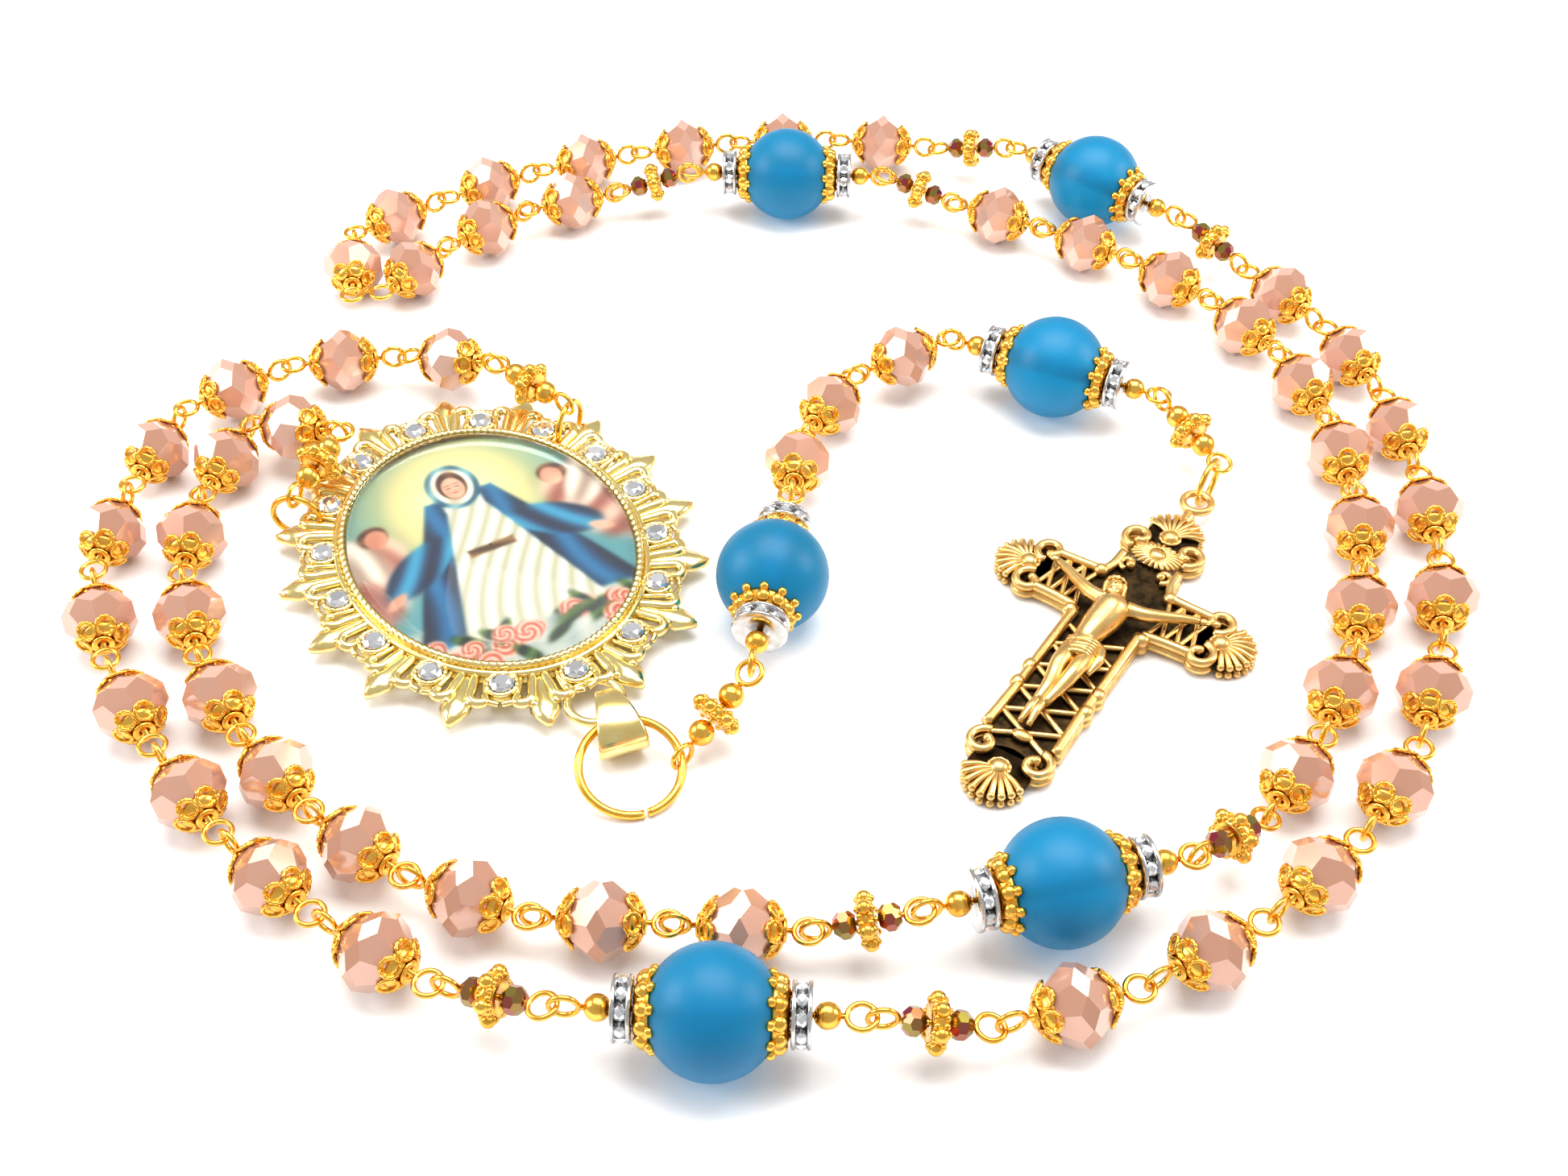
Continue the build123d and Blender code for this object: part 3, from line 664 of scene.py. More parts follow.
dress_chain(inner_names, inner_kinds, inner_places)
dress_chain(pendant_names, pendant_kinds, pendant_places)


# ------------------------------------------------------------------ wire rings and the bail
def wire_ring(radius, wire):
    shape = Shape()
    cut = math.radians(2)
    turn = cut + np.linspace(0, 2 * math.pi - 2 * cut, 72)
    path = np.c_[radius * np.cos(turn), radius * np.sin(turn), np.zeros(72)]
    shape.add(*tube(path, wire, 16))
    return shape


jump_mesh = wire_ring(RING_R, 0.345).mesh("jump_ring", [GOLD])
RINGS = [
    ("right_jump_ring", (7.0373, 20.13406, 3.05), (0.40664, 0.91359, 0), (0.91359, -0.40664, 0)),
    ("left_jump_ring", (-21.94981, 4.0716, 3.05), (-0.99454, 0.1044, 0), (0.1044, 0.99454, 0)),
    # This one stands a quarter turn from its CAD node, so that it threads its neighbours.
    ("crucifix_ring", (80.22012, 9.67302, 3.05), (-0.55123, -0.83435, 0), (0.83435, -0.55123, 0)),
]
for name, centre, x_dir, z_dir in RINGS:
    put(f"{name}_wire", jump_mesh, placement(centre, x_dir, z_dir), name, "gold_plate", name)
put("bail_ring_wire", wire_ring(5.1, 0.445).mesh("bail_ring_wire", [GOLD]), bail_ring_place,
    "bail_ring", "gold_plate", "bail_ring")


def bail_band():
    """The bail: an oval band, wide at one end, with softened edges."""
    shape = Shape()
    section = [(-1, -0.86), (-1, 0.86), (-0.8, 1), (0.8, 1), (1, 0.86), (1, -0.86), (0.8, -1), (-0.8, -1)]
    slope = (5.2 - 1.6) / (4 * 3.8)
    rows = []
    count = 80
    for a in np.linspace(0, 2 * math.pi, count, endpoint=False):
        for across, through in section:
            long_r = 3.8 - 0.45 + 0.45 * across
            high_r = 2.8 - 0.45 + 0.45 * across
            x = long_r * math.cos(a)
            half = 2.6 + slope * (x - 3.8)
            rows.append((x, high_r * math.sin(a), half * through))
    shape.add(rows, ring_faces(count, len(section), wrap_rows=True))
    return shape


put("bail_band", bail_band().mesh("bail_band", [PALE_GOLD]),
    placement((15.22872, -26.09444, 2.85), (0.34894, -0.93715, 0), (-0.93715, -0.34894, 0)),
    "bail", "cast_gold", "bail")


# ------------------------------------------------------------------ the medal
MEDAL = placement((0, 0, 0), (0.5, -math.sqrt(0.75), 0), (0, 0, 1))
A, B = 19.1, 15.1
STONE_A, STONE_B = 21.8, 17.6


def oval_stations(count):
    """Evenly spaced places on the oval of stones: point, outward and sideways directions."""
    turn = np.linspace(0, 2 * math.pi, 4001)
    path = np.c_[STONE_A * np.cos(turn), STONE_B * np.sin(turn)]
    run = np.r_[0, np.cumsum(np.linalg.norm(np.diff(path, axis=0), axis=1))]
    places = []
    for share in count:
        a = np.interp((share % 1) * run[-1], run, turn)
        point = np.array((STONE_A * math.cos(a), STONE_B * math.sin(a), 0))
        outward = unit((math.cos(a) / STONE_A, math.sin(a) / STONE_B, 0))
        places.append((point, outward, np.array((-outward[1], outward[0], 0))))
    return places


def oval_band(shape, section, count=192):
    """A closed section of (outward, height) points carried round the picture's oval."""
    rows = []
    for k in range(count):
        a = 2 * math.pi * k / count
        for out, z in section:
            rows.append(((A + out) * math.cos(a), (B + out) * math.sin(a), z))
    shape.add(rows, ring_faces(count, len(section), wrap_rows=True))


def circle_section(out, z, radius, count=10):
    return [(out + radius * math.cos(2 * math.pi * k / count), z + radius * math.sin(2 * math.pi * k / count))
            for k in range(count)]


def ribbed_oval(shape, out, z, radius, teeth):
    """The rope bezel: a cord of slanted strands round the picture."""
    count = teeth * 5
    sides = 10
    rows = []
    for k in range(count):
        a = 2 * math.pi * k / count
        for j in range(sides):
            b = 2 * math.pi * j / sides
            r = radius * (1 + 0.14 * math.cos(teeth * a + b))
            reach = out + r * math.cos(b)
            rows.append(((A + reach) * math.cos(a), (B + reach) * math.sin(a), z + r * math.sin(b)))
    shape.add(rows, ring_faces(count, sides, wrap_rows=True))


def smooth_path(points, count=24):
    """A Catmull-Rom curve through points."""
    points = np.asarray(points, float)
    points = np.vstack([2 * points[0] - points[1], points, 2 * points[-1] - points[-2]])
    path = []
    spans = len(points) - 3
    for span in range(spans):
        p0, p1, p2, p3 = points[span:span + 4]
        for t in np.linspace(0, 1, count // spans + 1, endpoint=span == spans - 1):
            path.append(0.5 * (2 * p1 + (p2 - p0) * t + (2 * p0 - 5 * p1 + 4 * p2 - p3) * t**2
                               + (3 * p1 - p0 - 3 * p2 + p3) * t**3))
    return np.array(path)


def medal_metal():
    shape = Shape()
    base = []
    count = 160
    for z, grow in ((0.0, 0.3), (0.3, 0.75), (0.95, 0.75), (0.95, 0.0)):
        base.append([((A + grow) * math.cos(2 * math.pi * k / count),
                      (B + grow) * math.sin(2 * math.pi * k / count), z) for k in range(count)])
    shape.add(np.vstack(base), ring_faces(4, count) + [tuple(range(count - 1, -1, -1)),
                                                           tuple(range(3 * count, 4 * count))])
    oval_band(shape, [(0.05, 0.9), (0.05, 3.0), (0.35, 3.1), (0.75, 2.9), (0.78, 0.9)])
    ribbed_oval(shape, 0.42, 3.12, 0.4, 130)
    oval_band(shape, circle_section(1.15, 2.55, 0.4))
    oval_band(shape, [(0.7, 1.35), (0.7, 2.2), (1.7, 2.1), (1.7, 1.35)])
    for point, out, side in oval_stations([k / 16 for k in range(16)]):
        up = np.array((0, 0, 1))
        shape.add(*tube([point + up * 1.35, point + up * 2.3], (1.55, 1.7), 28))
        milled_ring(shape, point + up * 2.72, 1.56, 0.26, out, side, 16, 0, 0.16)
        shape.add(*tube([point - out * 1.9 + up * 1.9, point - out * 1.0 + up * 2.0], (0.9, 0.8), 12))
        for swing in (1, -1):
            shape.add(*tube(smooth_path([
                point - out * 1.9 + side * swing * 1.75 + up * 2.1,
                point + out * 0.1 + side * swing * 1.72 + up * 2.35,
                point + out * 1.9 + side * swing * 1.35 + up * 2.3,
                point + out * 2.35 + side * swing * 0.2 + up * 2.2], 16), 0.32, 9))
            shape.add(*tube(smooth_path([
                point - out * 1.9 + side * swing * 2.9 + up * 2.1,
                point + out * 0.2 + side * swing * 3.05 + up * 2.3,
                point + out * 1.6 + side * swing * 3.15 + up * 2.4,
                point + out * 2.35 + side * swing * 2.5 + up * 2.4,
                point + out * 2.1 + side * swing * 1.6 + up * 2.3,
                point + out * 1.2 + side * swing * 1.62 + up * 2.15], 30), 0.56, 10))
    for point, out, side in oval_stations([(k + 0.5) / 16 for k in range(16)]):
        up = np.array((0, 0, 1))
        rows = []
        for reach, half, crest in ((-2.2, 0.7, 2.3), (-0.6, 0.65, 2.5), (1.2, 1.0, 2.65), (2.6, 1.6, 2.75),
                                   (3.4, 1.65, 2.7), (4.3, 1.15, 2.55), (5.0, 0.6, 2.4), (5.4, 0.2, 2.2)):
            for across, height in ((-1, 0.35), (-0.75, 0.75), (0, 1.0), (0.75, 0.75), (1, 0.35),
                                   (0.7, 0.0), (-0.7, 0.0)):
                z = 1.4 + (crest - 1.4) * height
                rows.append(point + out * reach + side * across * half + up * z)
        sides = 7
        rings = len(rows) // sides
        shape.add(rows, ring_faces(rings, sides) + [tuple(range(sides - 1, -1, -1)),
                                                    tuple(range((rings - 1) * sides, rings * sides))])
        for swing in (1, -1):
            shape.add(*ball(point + out * 2.6 + side * swing * 1.1 + up * 2.25, (0.5, 0.5, 0.45), 12, 8))
    eye = np.array((26.2, 0, 2.1))
    shape.add(*tube(circle_path(eye, 2.85, (1, 0, 0), (0, 1, 0), 60), 0.46, 14, closed=True, up=(0, 0, 1)))
    for swing in (1, -1):
        shape.add(*tube(smooth_path([(21.2, swing * 1.8, 2.1), (22.6, swing * 1.9, 2.1),
                                     (24.0, swing * 1.7, 2.1)], 12), 0.42, 10))
    return shape


def medal_stones():
    shape = Shape()
    for point, out, side in oval_stations([k / 16 for k in range(16)]):
        gem(shape, point + np.array((0, 0, 2.85)), 1.3, (0, 0, 1), out, 0.56, 0.5, 8)
    return shape


put("medal_border", medal_metal().mesh("medal_border", [PALE_GOLD]), MEDAL, "medal", "cast_gold",
    "medal_frame")
# The rhinestones carry the random per-face painted reflection of their facets.
put("medal_stones", medal_stones().mesh("medal_stones", [RHINESTONE], random_facet_reflection), MEDAL,
    "medal", "rhinestone", "frame_rhinestones")


# ------------------------------------------------------------------ the picture, painted on a fine oval sheet
def mix(base, colour, weight):
    weight = np.clip(weight, 0, 1)[:, None]
    return base * (1 - weight) + np.asarray(colour, float) * weight


def soft(distance, width=0.03):
    """1 inside, 0 outside, with a soft edge."""
    return 1 / (1 + np.exp(np.clip(distance / width * 4, -40, 40)))


def blob(u, v, cx, cy, rx, ry, tilt=0.0):
    c, s = math.cos(tilt), math.sin(tilt)
    x, y = (u - cx) * c + (v - cy) * s, -(u - cx) * s + (v - cy) * c
    return (np.sqrt((x / rx)**2 + (y / ry)**2) - 1) * min(rx, ry)


def folds(u, v, frequency, angle, warp=0.25):
    along = u * math.cos(angle) + v * math.sin(angle)
    across = -u * math.sin(angle) + v * math.cos(angle)
    return 0.5 + 0.5 * np.sin(frequency * across + warp * frequency * np.sin(2.3 * along))


def clouded(u, v, seed):
    local = np.random.default_rng(seed)
    value = np.zeros_like(u)
    for k in range(14):
        fu, fv = local.normal(0, 6 + k, 2)
        value += np.sin(fu * u + fv * v + local.uniform(0, 6.28)) / (2 + k * 0.5)
    return value / 2.2


def wash(paint, u, v, shape_distance, dark, light, pattern, width=0.03):
    shade = np.asarray(dark, float) + pattern[:, None] * (np.asarray(light, float) - np.asarray(dark, float))
    weight = soft(shape_distance, width)[:, None]
    return paint * (1 - weight) + shade * weight


def painting(u, v):
    """Our Lady with open arms in a halo, angels either side, clouds and roses below; u right, v up."""
    noise = clouded(u, v, 3)
    paint = np.tile(np.array((0.25, 0.55, 0.58)), (len(u), 1))
    paint = mix(paint, (0.42, 0.62, 0.62), 0.5 + 0.4 * noise)
    halo = np.sqrt((u * 1.05)**2 + ((v - 0.42) * 0.9)**2)
    paint = mix(paint, (0.93, 0.80, 0.45), 1.5 - halo * 1.9)
    paint = mix(paint, (1.0, 0.95, 0.72), 1.3 - halo * 2.6)
    for side in (-1, 1):
        body = blob(u, v, side * 0.66, 0.05, 0.2, 0.36, side * 0.35)
        paint = wash(paint, u, v, body, (0.62, 0.34, 0.26), (0.92, 0.76, 0.66), folds(u, v, 26, 0.9 * side),
            0.06)
        wing = blob(u, v, side * 0.74, 0.32, 0.13, 0.3, -side * 0.5)
        paint = wash(paint, u, v, wing, (0.70, 0.60, 0.52), (0.98, 0.92, 0.84), folds(u, v, 40, 1.2 * side),
            0.05)
        head = blob(u, v, side * 0.55, 0.37, 0.065, 0.08)
        paint = wash(paint, u, v, blob(u, v, side * 0.56, 0.40, 0.085, 0.085), (0.30, 0.17, 0.08),
                     (0.52, 0.32, 0.16), folds(u, v, 60, 0.3), 0.02)
        paint = wash(paint, u, v, head, (0.78, 0.50, 0.38), (0.93, 0.70, 0.58), np.clip(0.5 + noise, 0, 1),
            0.015)
    cloud = v + 0.50 - 0.1 * np.sin(7 * u) + 0.06 * noise
    paint = wash(paint, u, v, cloud, (0.50, 0.58, 0.56), (0.93, 0.91, 0.84),
        np.clip(0.6 + 0.6 * noise, 0, 1), 0.08)
    gown = np.maximum(np.abs(u) - (0.12 + 0.30 * np.clip(0.35 - v, 0, 1.1)), np.maximum(v - 0.42, -0.66 - v))
    mantle = np.maximum(np.abs(u) - (0.20 + 0.42 * np.clip(0.5 - v, 0, 1.1)), np.maximum(v - 0.48, -0.6 - v))
    paint = wash(paint, u, v, mantle, (0.01, 0.10, 0.20), (0.08, 0.42, 0.60), folds(np.abs(u), v, 24, 2.0),
        0.03)
    for side in (-1, 1):
        sleeve = blob(u, v, side * 0.42, 0.02, 0.27, 0.13, -side * 0.55)
        paint = wash(paint, u, v, sleeve, (0.01, 0.12, 0.24), (0.20, 0.58, 0.72),
            folds(side * u, v, 30, -0.6), 0.03)
        hand = blob(u, v, side * 0.63, -0.15, 0.075, 0.035, -side * 0.5)
        paint = wash(paint, u, v, hand, (0.74, 0.47, 0.35), (0.92, 0.70, 0.58), np.clip(0.5 + noise, 0, 1),
            0.015)
    paint = wash(paint, u, v, gown, (0.76, 0.74, 0.62), (0.96, 0.94, 0.86), folds(u, v, 60, 1.45), 0.025)
    paint = wash(paint, u, v, np.maximum(np.abs(u) - 0.14, np.abs(v + 0.02) - 0.03), (0.30, 0.20, 0.10),
                 (0.56, 0.40, 0.22), folds(u, v, 50, 0.2), 0.02)
    veil = blob(u, v, 0, 0.56, 0.155, 0.20)
    paint = wash(paint, u, v, veil, (0.16, 0.36, 0.44), (0.50, 0.70, 0.72), folds(u, v, 38, 1.2), 0.02)
    paint = wash(paint, u, v, blob(u, v, 0, 0.56, 0.12, 0.165), (0.78, 0.72, 0.60), (0.98, 0.94, 0.86),
                 folds(u, v, 40, 1.5), 0.015)
    paint = wash(paint, u, v, blob(u, v, 0, 0.57, 0.088, 0.125), (0.28, 0.16, 0.08), (0.45, 0.28, 0.14),
                 folds(u, v, 60, 1.4), 0.012)
    skin = np.clip(0.75 - 2.2 * np.abs(u - 0.015) + 0.1 * noise, 0, 1)
    paint = wash(paint, u, v, blob(u, v, 0, 0.545, 0.066, 0.098), (0.76, 0.50, 0.38), (0.96, 0.76, 0.64),
        skin, 0.01)
    for side in (-1, 1):
        paint = mix(paint, (0.20, 0.12, 0.09), 0.8 * soft(blob(u, v, side * 0.027, 0.552, 0.014, 0.004),
            0.005))
        paint = mix(paint, (0.36, 0.22, 0.14), 0.6 * soft(blob(u, v, side * 0.028, 0.578, 0.018, 0.004),
            0.006))
        paint = mix(paint, (0.90, 0.52, 0.44), 0.4 * soft(blob(u, v, side * 0.035, 0.52, 0.016, 0.012),
            0.015))
    paint = mix(paint, (0.66, 0.42, 0.32), 0.5 * soft(blob(u, v, 0.004, 0.525, 0.008, 0.004), 0.005))
    paint = mix(paint, (0.66, 0.26, 0.22), 0.8 * soft(blob(u, v, 0, 0.503, 0.017, 0.005), 0.005))
    local = np.random.default_rng(11)
    for k in range(44):
        cx = local.uniform(-0.72, 0.72)
        cy = -0.66 - 0.22 * local.uniform() + 0.22 * cx * cx + 0.02
        if k % 2:
            leaf = blob(u, v, cx, cy, 0.09, 0.035, local.uniform(-1.2, 1.2))
            paint = wash(paint, u, v, leaf, (0.05, 0.12, 0.05), (0.30, 0.42, 0.16), folds(u, v, 60, 0.7),
                0.02)
        else:
            size = local.uniform(0.06, 0.095)
            petals = 0.5 + 0.5 * np.sin(14 * np.sqrt((u - cx)**2 + (v - cy)**2) / size
                                        + 2.5 * np.arctan2(v - cy, u - cx))
            paint = wash(paint, u, v, blob(u, v, cx, cy, size, size * 0.85), (0.78, 0.34, 0.24),
                         (0.97, 0.78, 0.68), petals, 0.02)
    edge = np.sqrt(u**2 + v**2)
    return mix(paint, (0.16, 0.09, 0.05), (edge - 0.93) * 9)


def picture_mesh():
    """The picture's oval, flat, with its colours stored at its points."""
    rings, sides = 150, 420
    r = np.linspace(0, 1, rings + 1)[1:]
    a = np.linspace(0, 2 * math.pi, sides, endpoint=False)
    grid_r, grid_a = np.meshgrid(r, a, indexing="ij")
    x = np.r_[0, (grid_r * np.cos(grid_a)).ravel()]
    y = np.r_[0, (grid_r * np.sin(grid_a)).ravel()]
    top = np.c_[x * A * 0.998, y * B * 0.998, np.full(len(x), 1.42)]
    faces = [(0, 1 + j, 1 + (j + 1) % sides) for j in range(sides)]
    faces += [tuple(i + 1 for i in face) for face in ring_faces(rings, sides)]
    rim = 1 + (rings - 1) * sides
    bottom = top[rim:] - (0, 0, 0.38)
    low = len(top)
    faces += [(rim + j, low + j, low + (j + 1) % sides, rim + (j + 1) % sides) for j in range(sides)]
    faces.append(tuple(range(low + sides - 1, low - 1, -1)))
    shape = Shape()
    shape.add(np.vstack([top, bottom]), faces)
    mesh = shape.mesh("picture", [PICTURE])
    colour = np.clip(painting(y * 0.8, -x), 0, 1) ** 2.4
    colour = np.vstack([colour, np.tile((0.12, 0.07, 0.04), (sides, 1))])
    layer = mesh.color_attributes.new("paint", "FLOAT_COLOR", "POINT")
    layer.data.foreach_set("color", np.c_[colour, np.ones(len(colour))].ravel())
    return mesh


put("picture_sheet", picture_mesh(), MEDAL, "medal", "picture", "picture_disc")

DOME, dome_tree, dome_shader = principled("dome_glass", Roughness=0.015, Transmission_Weight=1.0, IOR=1.18)
add_bump(dome_tree, dome_shader, 60.0, 0.03, 0.0002)
dome_shader.inputs["Specular IOR Level"].default_value = 0.3
dome_shader.inputs["Base Color"].default_value = (0.97, 0.98, 0.98, 1)


def dome_glass():
    """A low clear dome with a straight edge."""
    shape = Shape()
    sides, rings = 160, 26
    points = []
    for k in range(rings):
        lat = math.pi / 2 * k / rings
        points += [(19.08 * math.cos(lat) * math.cos(a), 15.08 * math.cos(lat) * math.sin(a),
                    2.85 + 3.38 * math.sin(lat)) for a in np.linspace(0, 2 * math.pi, sides, endpoint=False)]
    points.append((0, 0, 6.23))
    low = [(x, y, 1.47) for x, y, _ in points[:sides]]
    count = len(points)
    faces = ring_faces(rings, sides)
    last = (rings - 1) * sides
    faces += [(last + j, last + (j + 1) % sides, count - 1) for j in range(sides)]
    faces += [(count + j, count + (j + 1) % sides, (j + 1) % sides, j) for j in range(sides)]
    faces.append(tuple(range(count + sides - 1, count - 1, -1)))
    shape.add(points + low, faces)
    shape.smooth[-1] = False
    return shape


put("dome", dome_glass().mesh("dome", [DOME]), MEDAL, "medal", "dome_glass", "glass_cabochon")


# ------------------------------------------------------------------ the crucifix
CROSS = placement((68.20325, -8.51586, 0), (0.834352, -0.551232, 0), (0, 0, 1))


def cord(shape, points, radius, count=24, sides=9, slot=0):
    shape.add(*tube(smooth_path(points, count), radius, sides), slot)


def scroll(shape, centre, radius, start, turns, wire, z, direction=1):
    """A spiral of wire that winds in to a small ball."""
    a = start + direction * np.linspace(0, turns * 2 * math.pi, 34)
    r = radius * np.linspace(1, 0.34, 34)
    path = np.c_[centre[0] + r * np.cos(a), centre[1] + r * np.sin(a), np.full(34, z)]
    shape.add(*tube(path, wire, 9, up=(0, 0, 1)))
    shape.add(*ball(path[-1], 0.55, 12, 8))


def fan(shape, centre, heading, radius, spread, z):
    """A rayed shell: ribs from a button to a scalloped edge."""
    base = math.atan2(heading[1], heading[0])
    ribs = 9
    for k in range(ribs):
        a = base + spread * (k / (ribs - 1) - 0.5) * 2
        reach = radius * (1 - 0.10 * abs(k / (ribs - 1) - 0.5) * 2)
        tip = (centre[0] + reach * math.cos(a), centre[1] + reach * math.sin(a), z - 0.25)
        root = (centre[0] + 0.8 * math.cos(a), centre[1] + 0.8 * math.sin(a), z + 0.15)
        middle = ((tip[0] + root[0]) / 2, (tip[1] + root[1]) / 2, z + 0.15)
        path = smooth_path([root, middle, tip], 10)
        shape.add(*tube(path, np.linspace(0.16, radius * spread / ribs * 0.92, len(path)), 8))
        shape.add(*ball(tip, radius * spread / ribs * 0.98, 10, 7))
    shape.add(*ball((centre[0], centre[1], z + 0.1), (0.95, 0.95, 0.6), 20, 12))
    milled_ring(shape, np.array((centre[0], centre[1], z)), 1.1, 0.22, (1, 0, 0), (0, 1, 0), 10)


def slab(shape, outline, low, high, slot=0):
    """A flat plate between two heights."""
    count = len(outline)
    points = [(x, y, low) for x, y in outline] + [(x, y, high) for x, y in outline]
    faces = [tuple(range(count - 1, -1, -1)), tuple(range(count, 2 * count))]
    faces += [(k, (k + 1) % count, (k + 1) % count + count, k + count) for k in range(count)]
    shape.add(points, faces, slot, smooth=False)


def crucifix_frame():
    shape = Shape()
    for level in (1.85, 0.75):
        for side in (1, -1):
            cord(shape, [(side * 3.7, -3.3, level), (side * 3.75, -10, level), (side * 3.7, -16, level),
                         (side * 3.9, -22.6, level)], 0.6, 30)
            cord(shape, [(side * 3.9, 3.6, level), (side * 6.5, 3.5, level), (side * 9.2, 3.4, level)],
                0.55, 16)
            cord(shape, [(side * 3.9, -3.0, level), (side * 6.5, -2.7, level), (side * 9.2, -2.6, level)],
                0.55, 16)
            cord(shape, [(side * 3.9, 3.6, level), (side * 3.4, 5.2, level), (side * 3.3, 7.4, level)],
                0.55, 12)
        for side in (1, -1):
            scroll(shape, (side * 10.0, 3.2), 1.75, -math.pi / 2, 0.95, 0.5, level, side)
            scroll(shape, (side * 10.0, -2.2), 1.75, math.pi / 2, 0.95, 0.5, level, -side)
            scroll(shape, (side * 2.9, -24.9), 1.75, math.pi / 2, 0.95, 0.5, level, -side)
            scroll(shape, (side * 3.0, 10.6), 1.75, -math.pi / 2, 0.95, 0.5, level, side)
            scroll(shape, (side * 2.1, 6.1), 1.0, -math.pi / 2, 0.8, 0.36, level, side)
            fan(shape, (side * 11.3, 0.5), (side, 0), 3.55, 1.15, level)
            shape.add(*ball((side * 4.1, 3.5, level), (0.85, 0.85, 0.75), 16, 10))
            shape.add(*ball((side * 4.2, -3.7, level), (0.85, 0.85, 0.75), 16, 10))
            shape.add(*ball((side * 3.9, -13.3, level), (0.8, 1.0, 0.75), 16, 10))
            shape.add(*ball((side * 3.9, -16.0, level), (0.8, 1.0, 0.75), 16, 10))
        fan(shape, (0, -27.0), (0, -1), 3.7, 1.15, level)
        fan(shape, (0, 12.3), (0, 1), 3.9, 1.0, level)
        for k in range(5):
            y = -5.5 - 3.6 * k
            cord(shape, [(-3.6, y, level - 0.2), (0, y - 1.8, level - 0.1), (3.6, y - 3.6, level - 0.2)],
                0.34, 12)
            cord(shape, [(3.6, y, level - 0.2), (0, y - 1.8, level - 0.1), (-3.6, y - 3.6, level - 0.2)],
                0.34, 12)
        for side in (1, -1):
            for k in range(3):
                x = side * (4.2 + 1.7 * k)
                cord(shape, [(x, 3.4, level - 0.2), (x + side * 0.85, 0.5, level - 0.1),
                             (x + side * 1.7, -2.6, level - 0.2)], 0.3, 12)
                cord(shape, [(x, -2.6, level - 0.2), (x + side * 0.85, 0.5, level - 0.1),
                             (x + side * 1.7, 3.4, level - 0.2)], 0.3, 12)
    for a in np.linspace(0, 2 * math.pi, 24, endpoint=False):
        root = (0.9 * math.cos(a), 8.9 + 0.9 * math.sin(a), 2.0)
        tip = (2.9 * math.cos(a), 8.9 + 1.9 * math.sin(a), 1.7)
        shape.add(*tube(smooth_path([root, ((root[0] + tip[0]) / 2, (root[1] + tip[1]) / 2, 2.0), tip], 8),
                        0.26, 7))
    shape.add(*ball((0, 8.9, 1.9), (1.05, 0.8, 0.5), 18, 10))
    cord(shape, [(0, 15.8, 1.2), (0, 16.8, 1.2), (0, 17.3, 1.2)], 0.8, 8)
    shape.add(*tube(circle_path((0, 19.4, 1.7), 1.6, (1, 0, 0), (0, 1, 0), 40), 0.44, 12, closed=True,
                    up=(0, 0, 1)))
    return shape


def painted_shade_sheet():
    """Dark slabs behind the openwork: painted shade, standing in for the shadow seen through the holes."""
    shape = Shape()
    slab(shape, [(-3.4, -24.5), (3.4, -24.5), (3.4, 7.5), (-3.4, 7.5)], 0.95, 1.35)
    for side in (1, -1):
        slab(shape, [(side * x, y) for x, y in ((3.4, -2.5), (10.4, -2.5), (10.4, 3.4), (3.4, 3.4))][::side],
             0.95, 1.35)
        shape.add(*tube([(side * 11.2, 0.5, 0.95), (side * 11.2, 0.5, 1.35)], (3.2, 3.2), 32))
    shape.add(*tube([(0, -27.1, 0.95), (0, -27.1, 1.35)], (3.3, 3.3), 32))
    shape.add(*tube([(0, 13.2, 0.95), (0, 13.2, 1.35)], (2.9, 2.9), 32))
    return shape


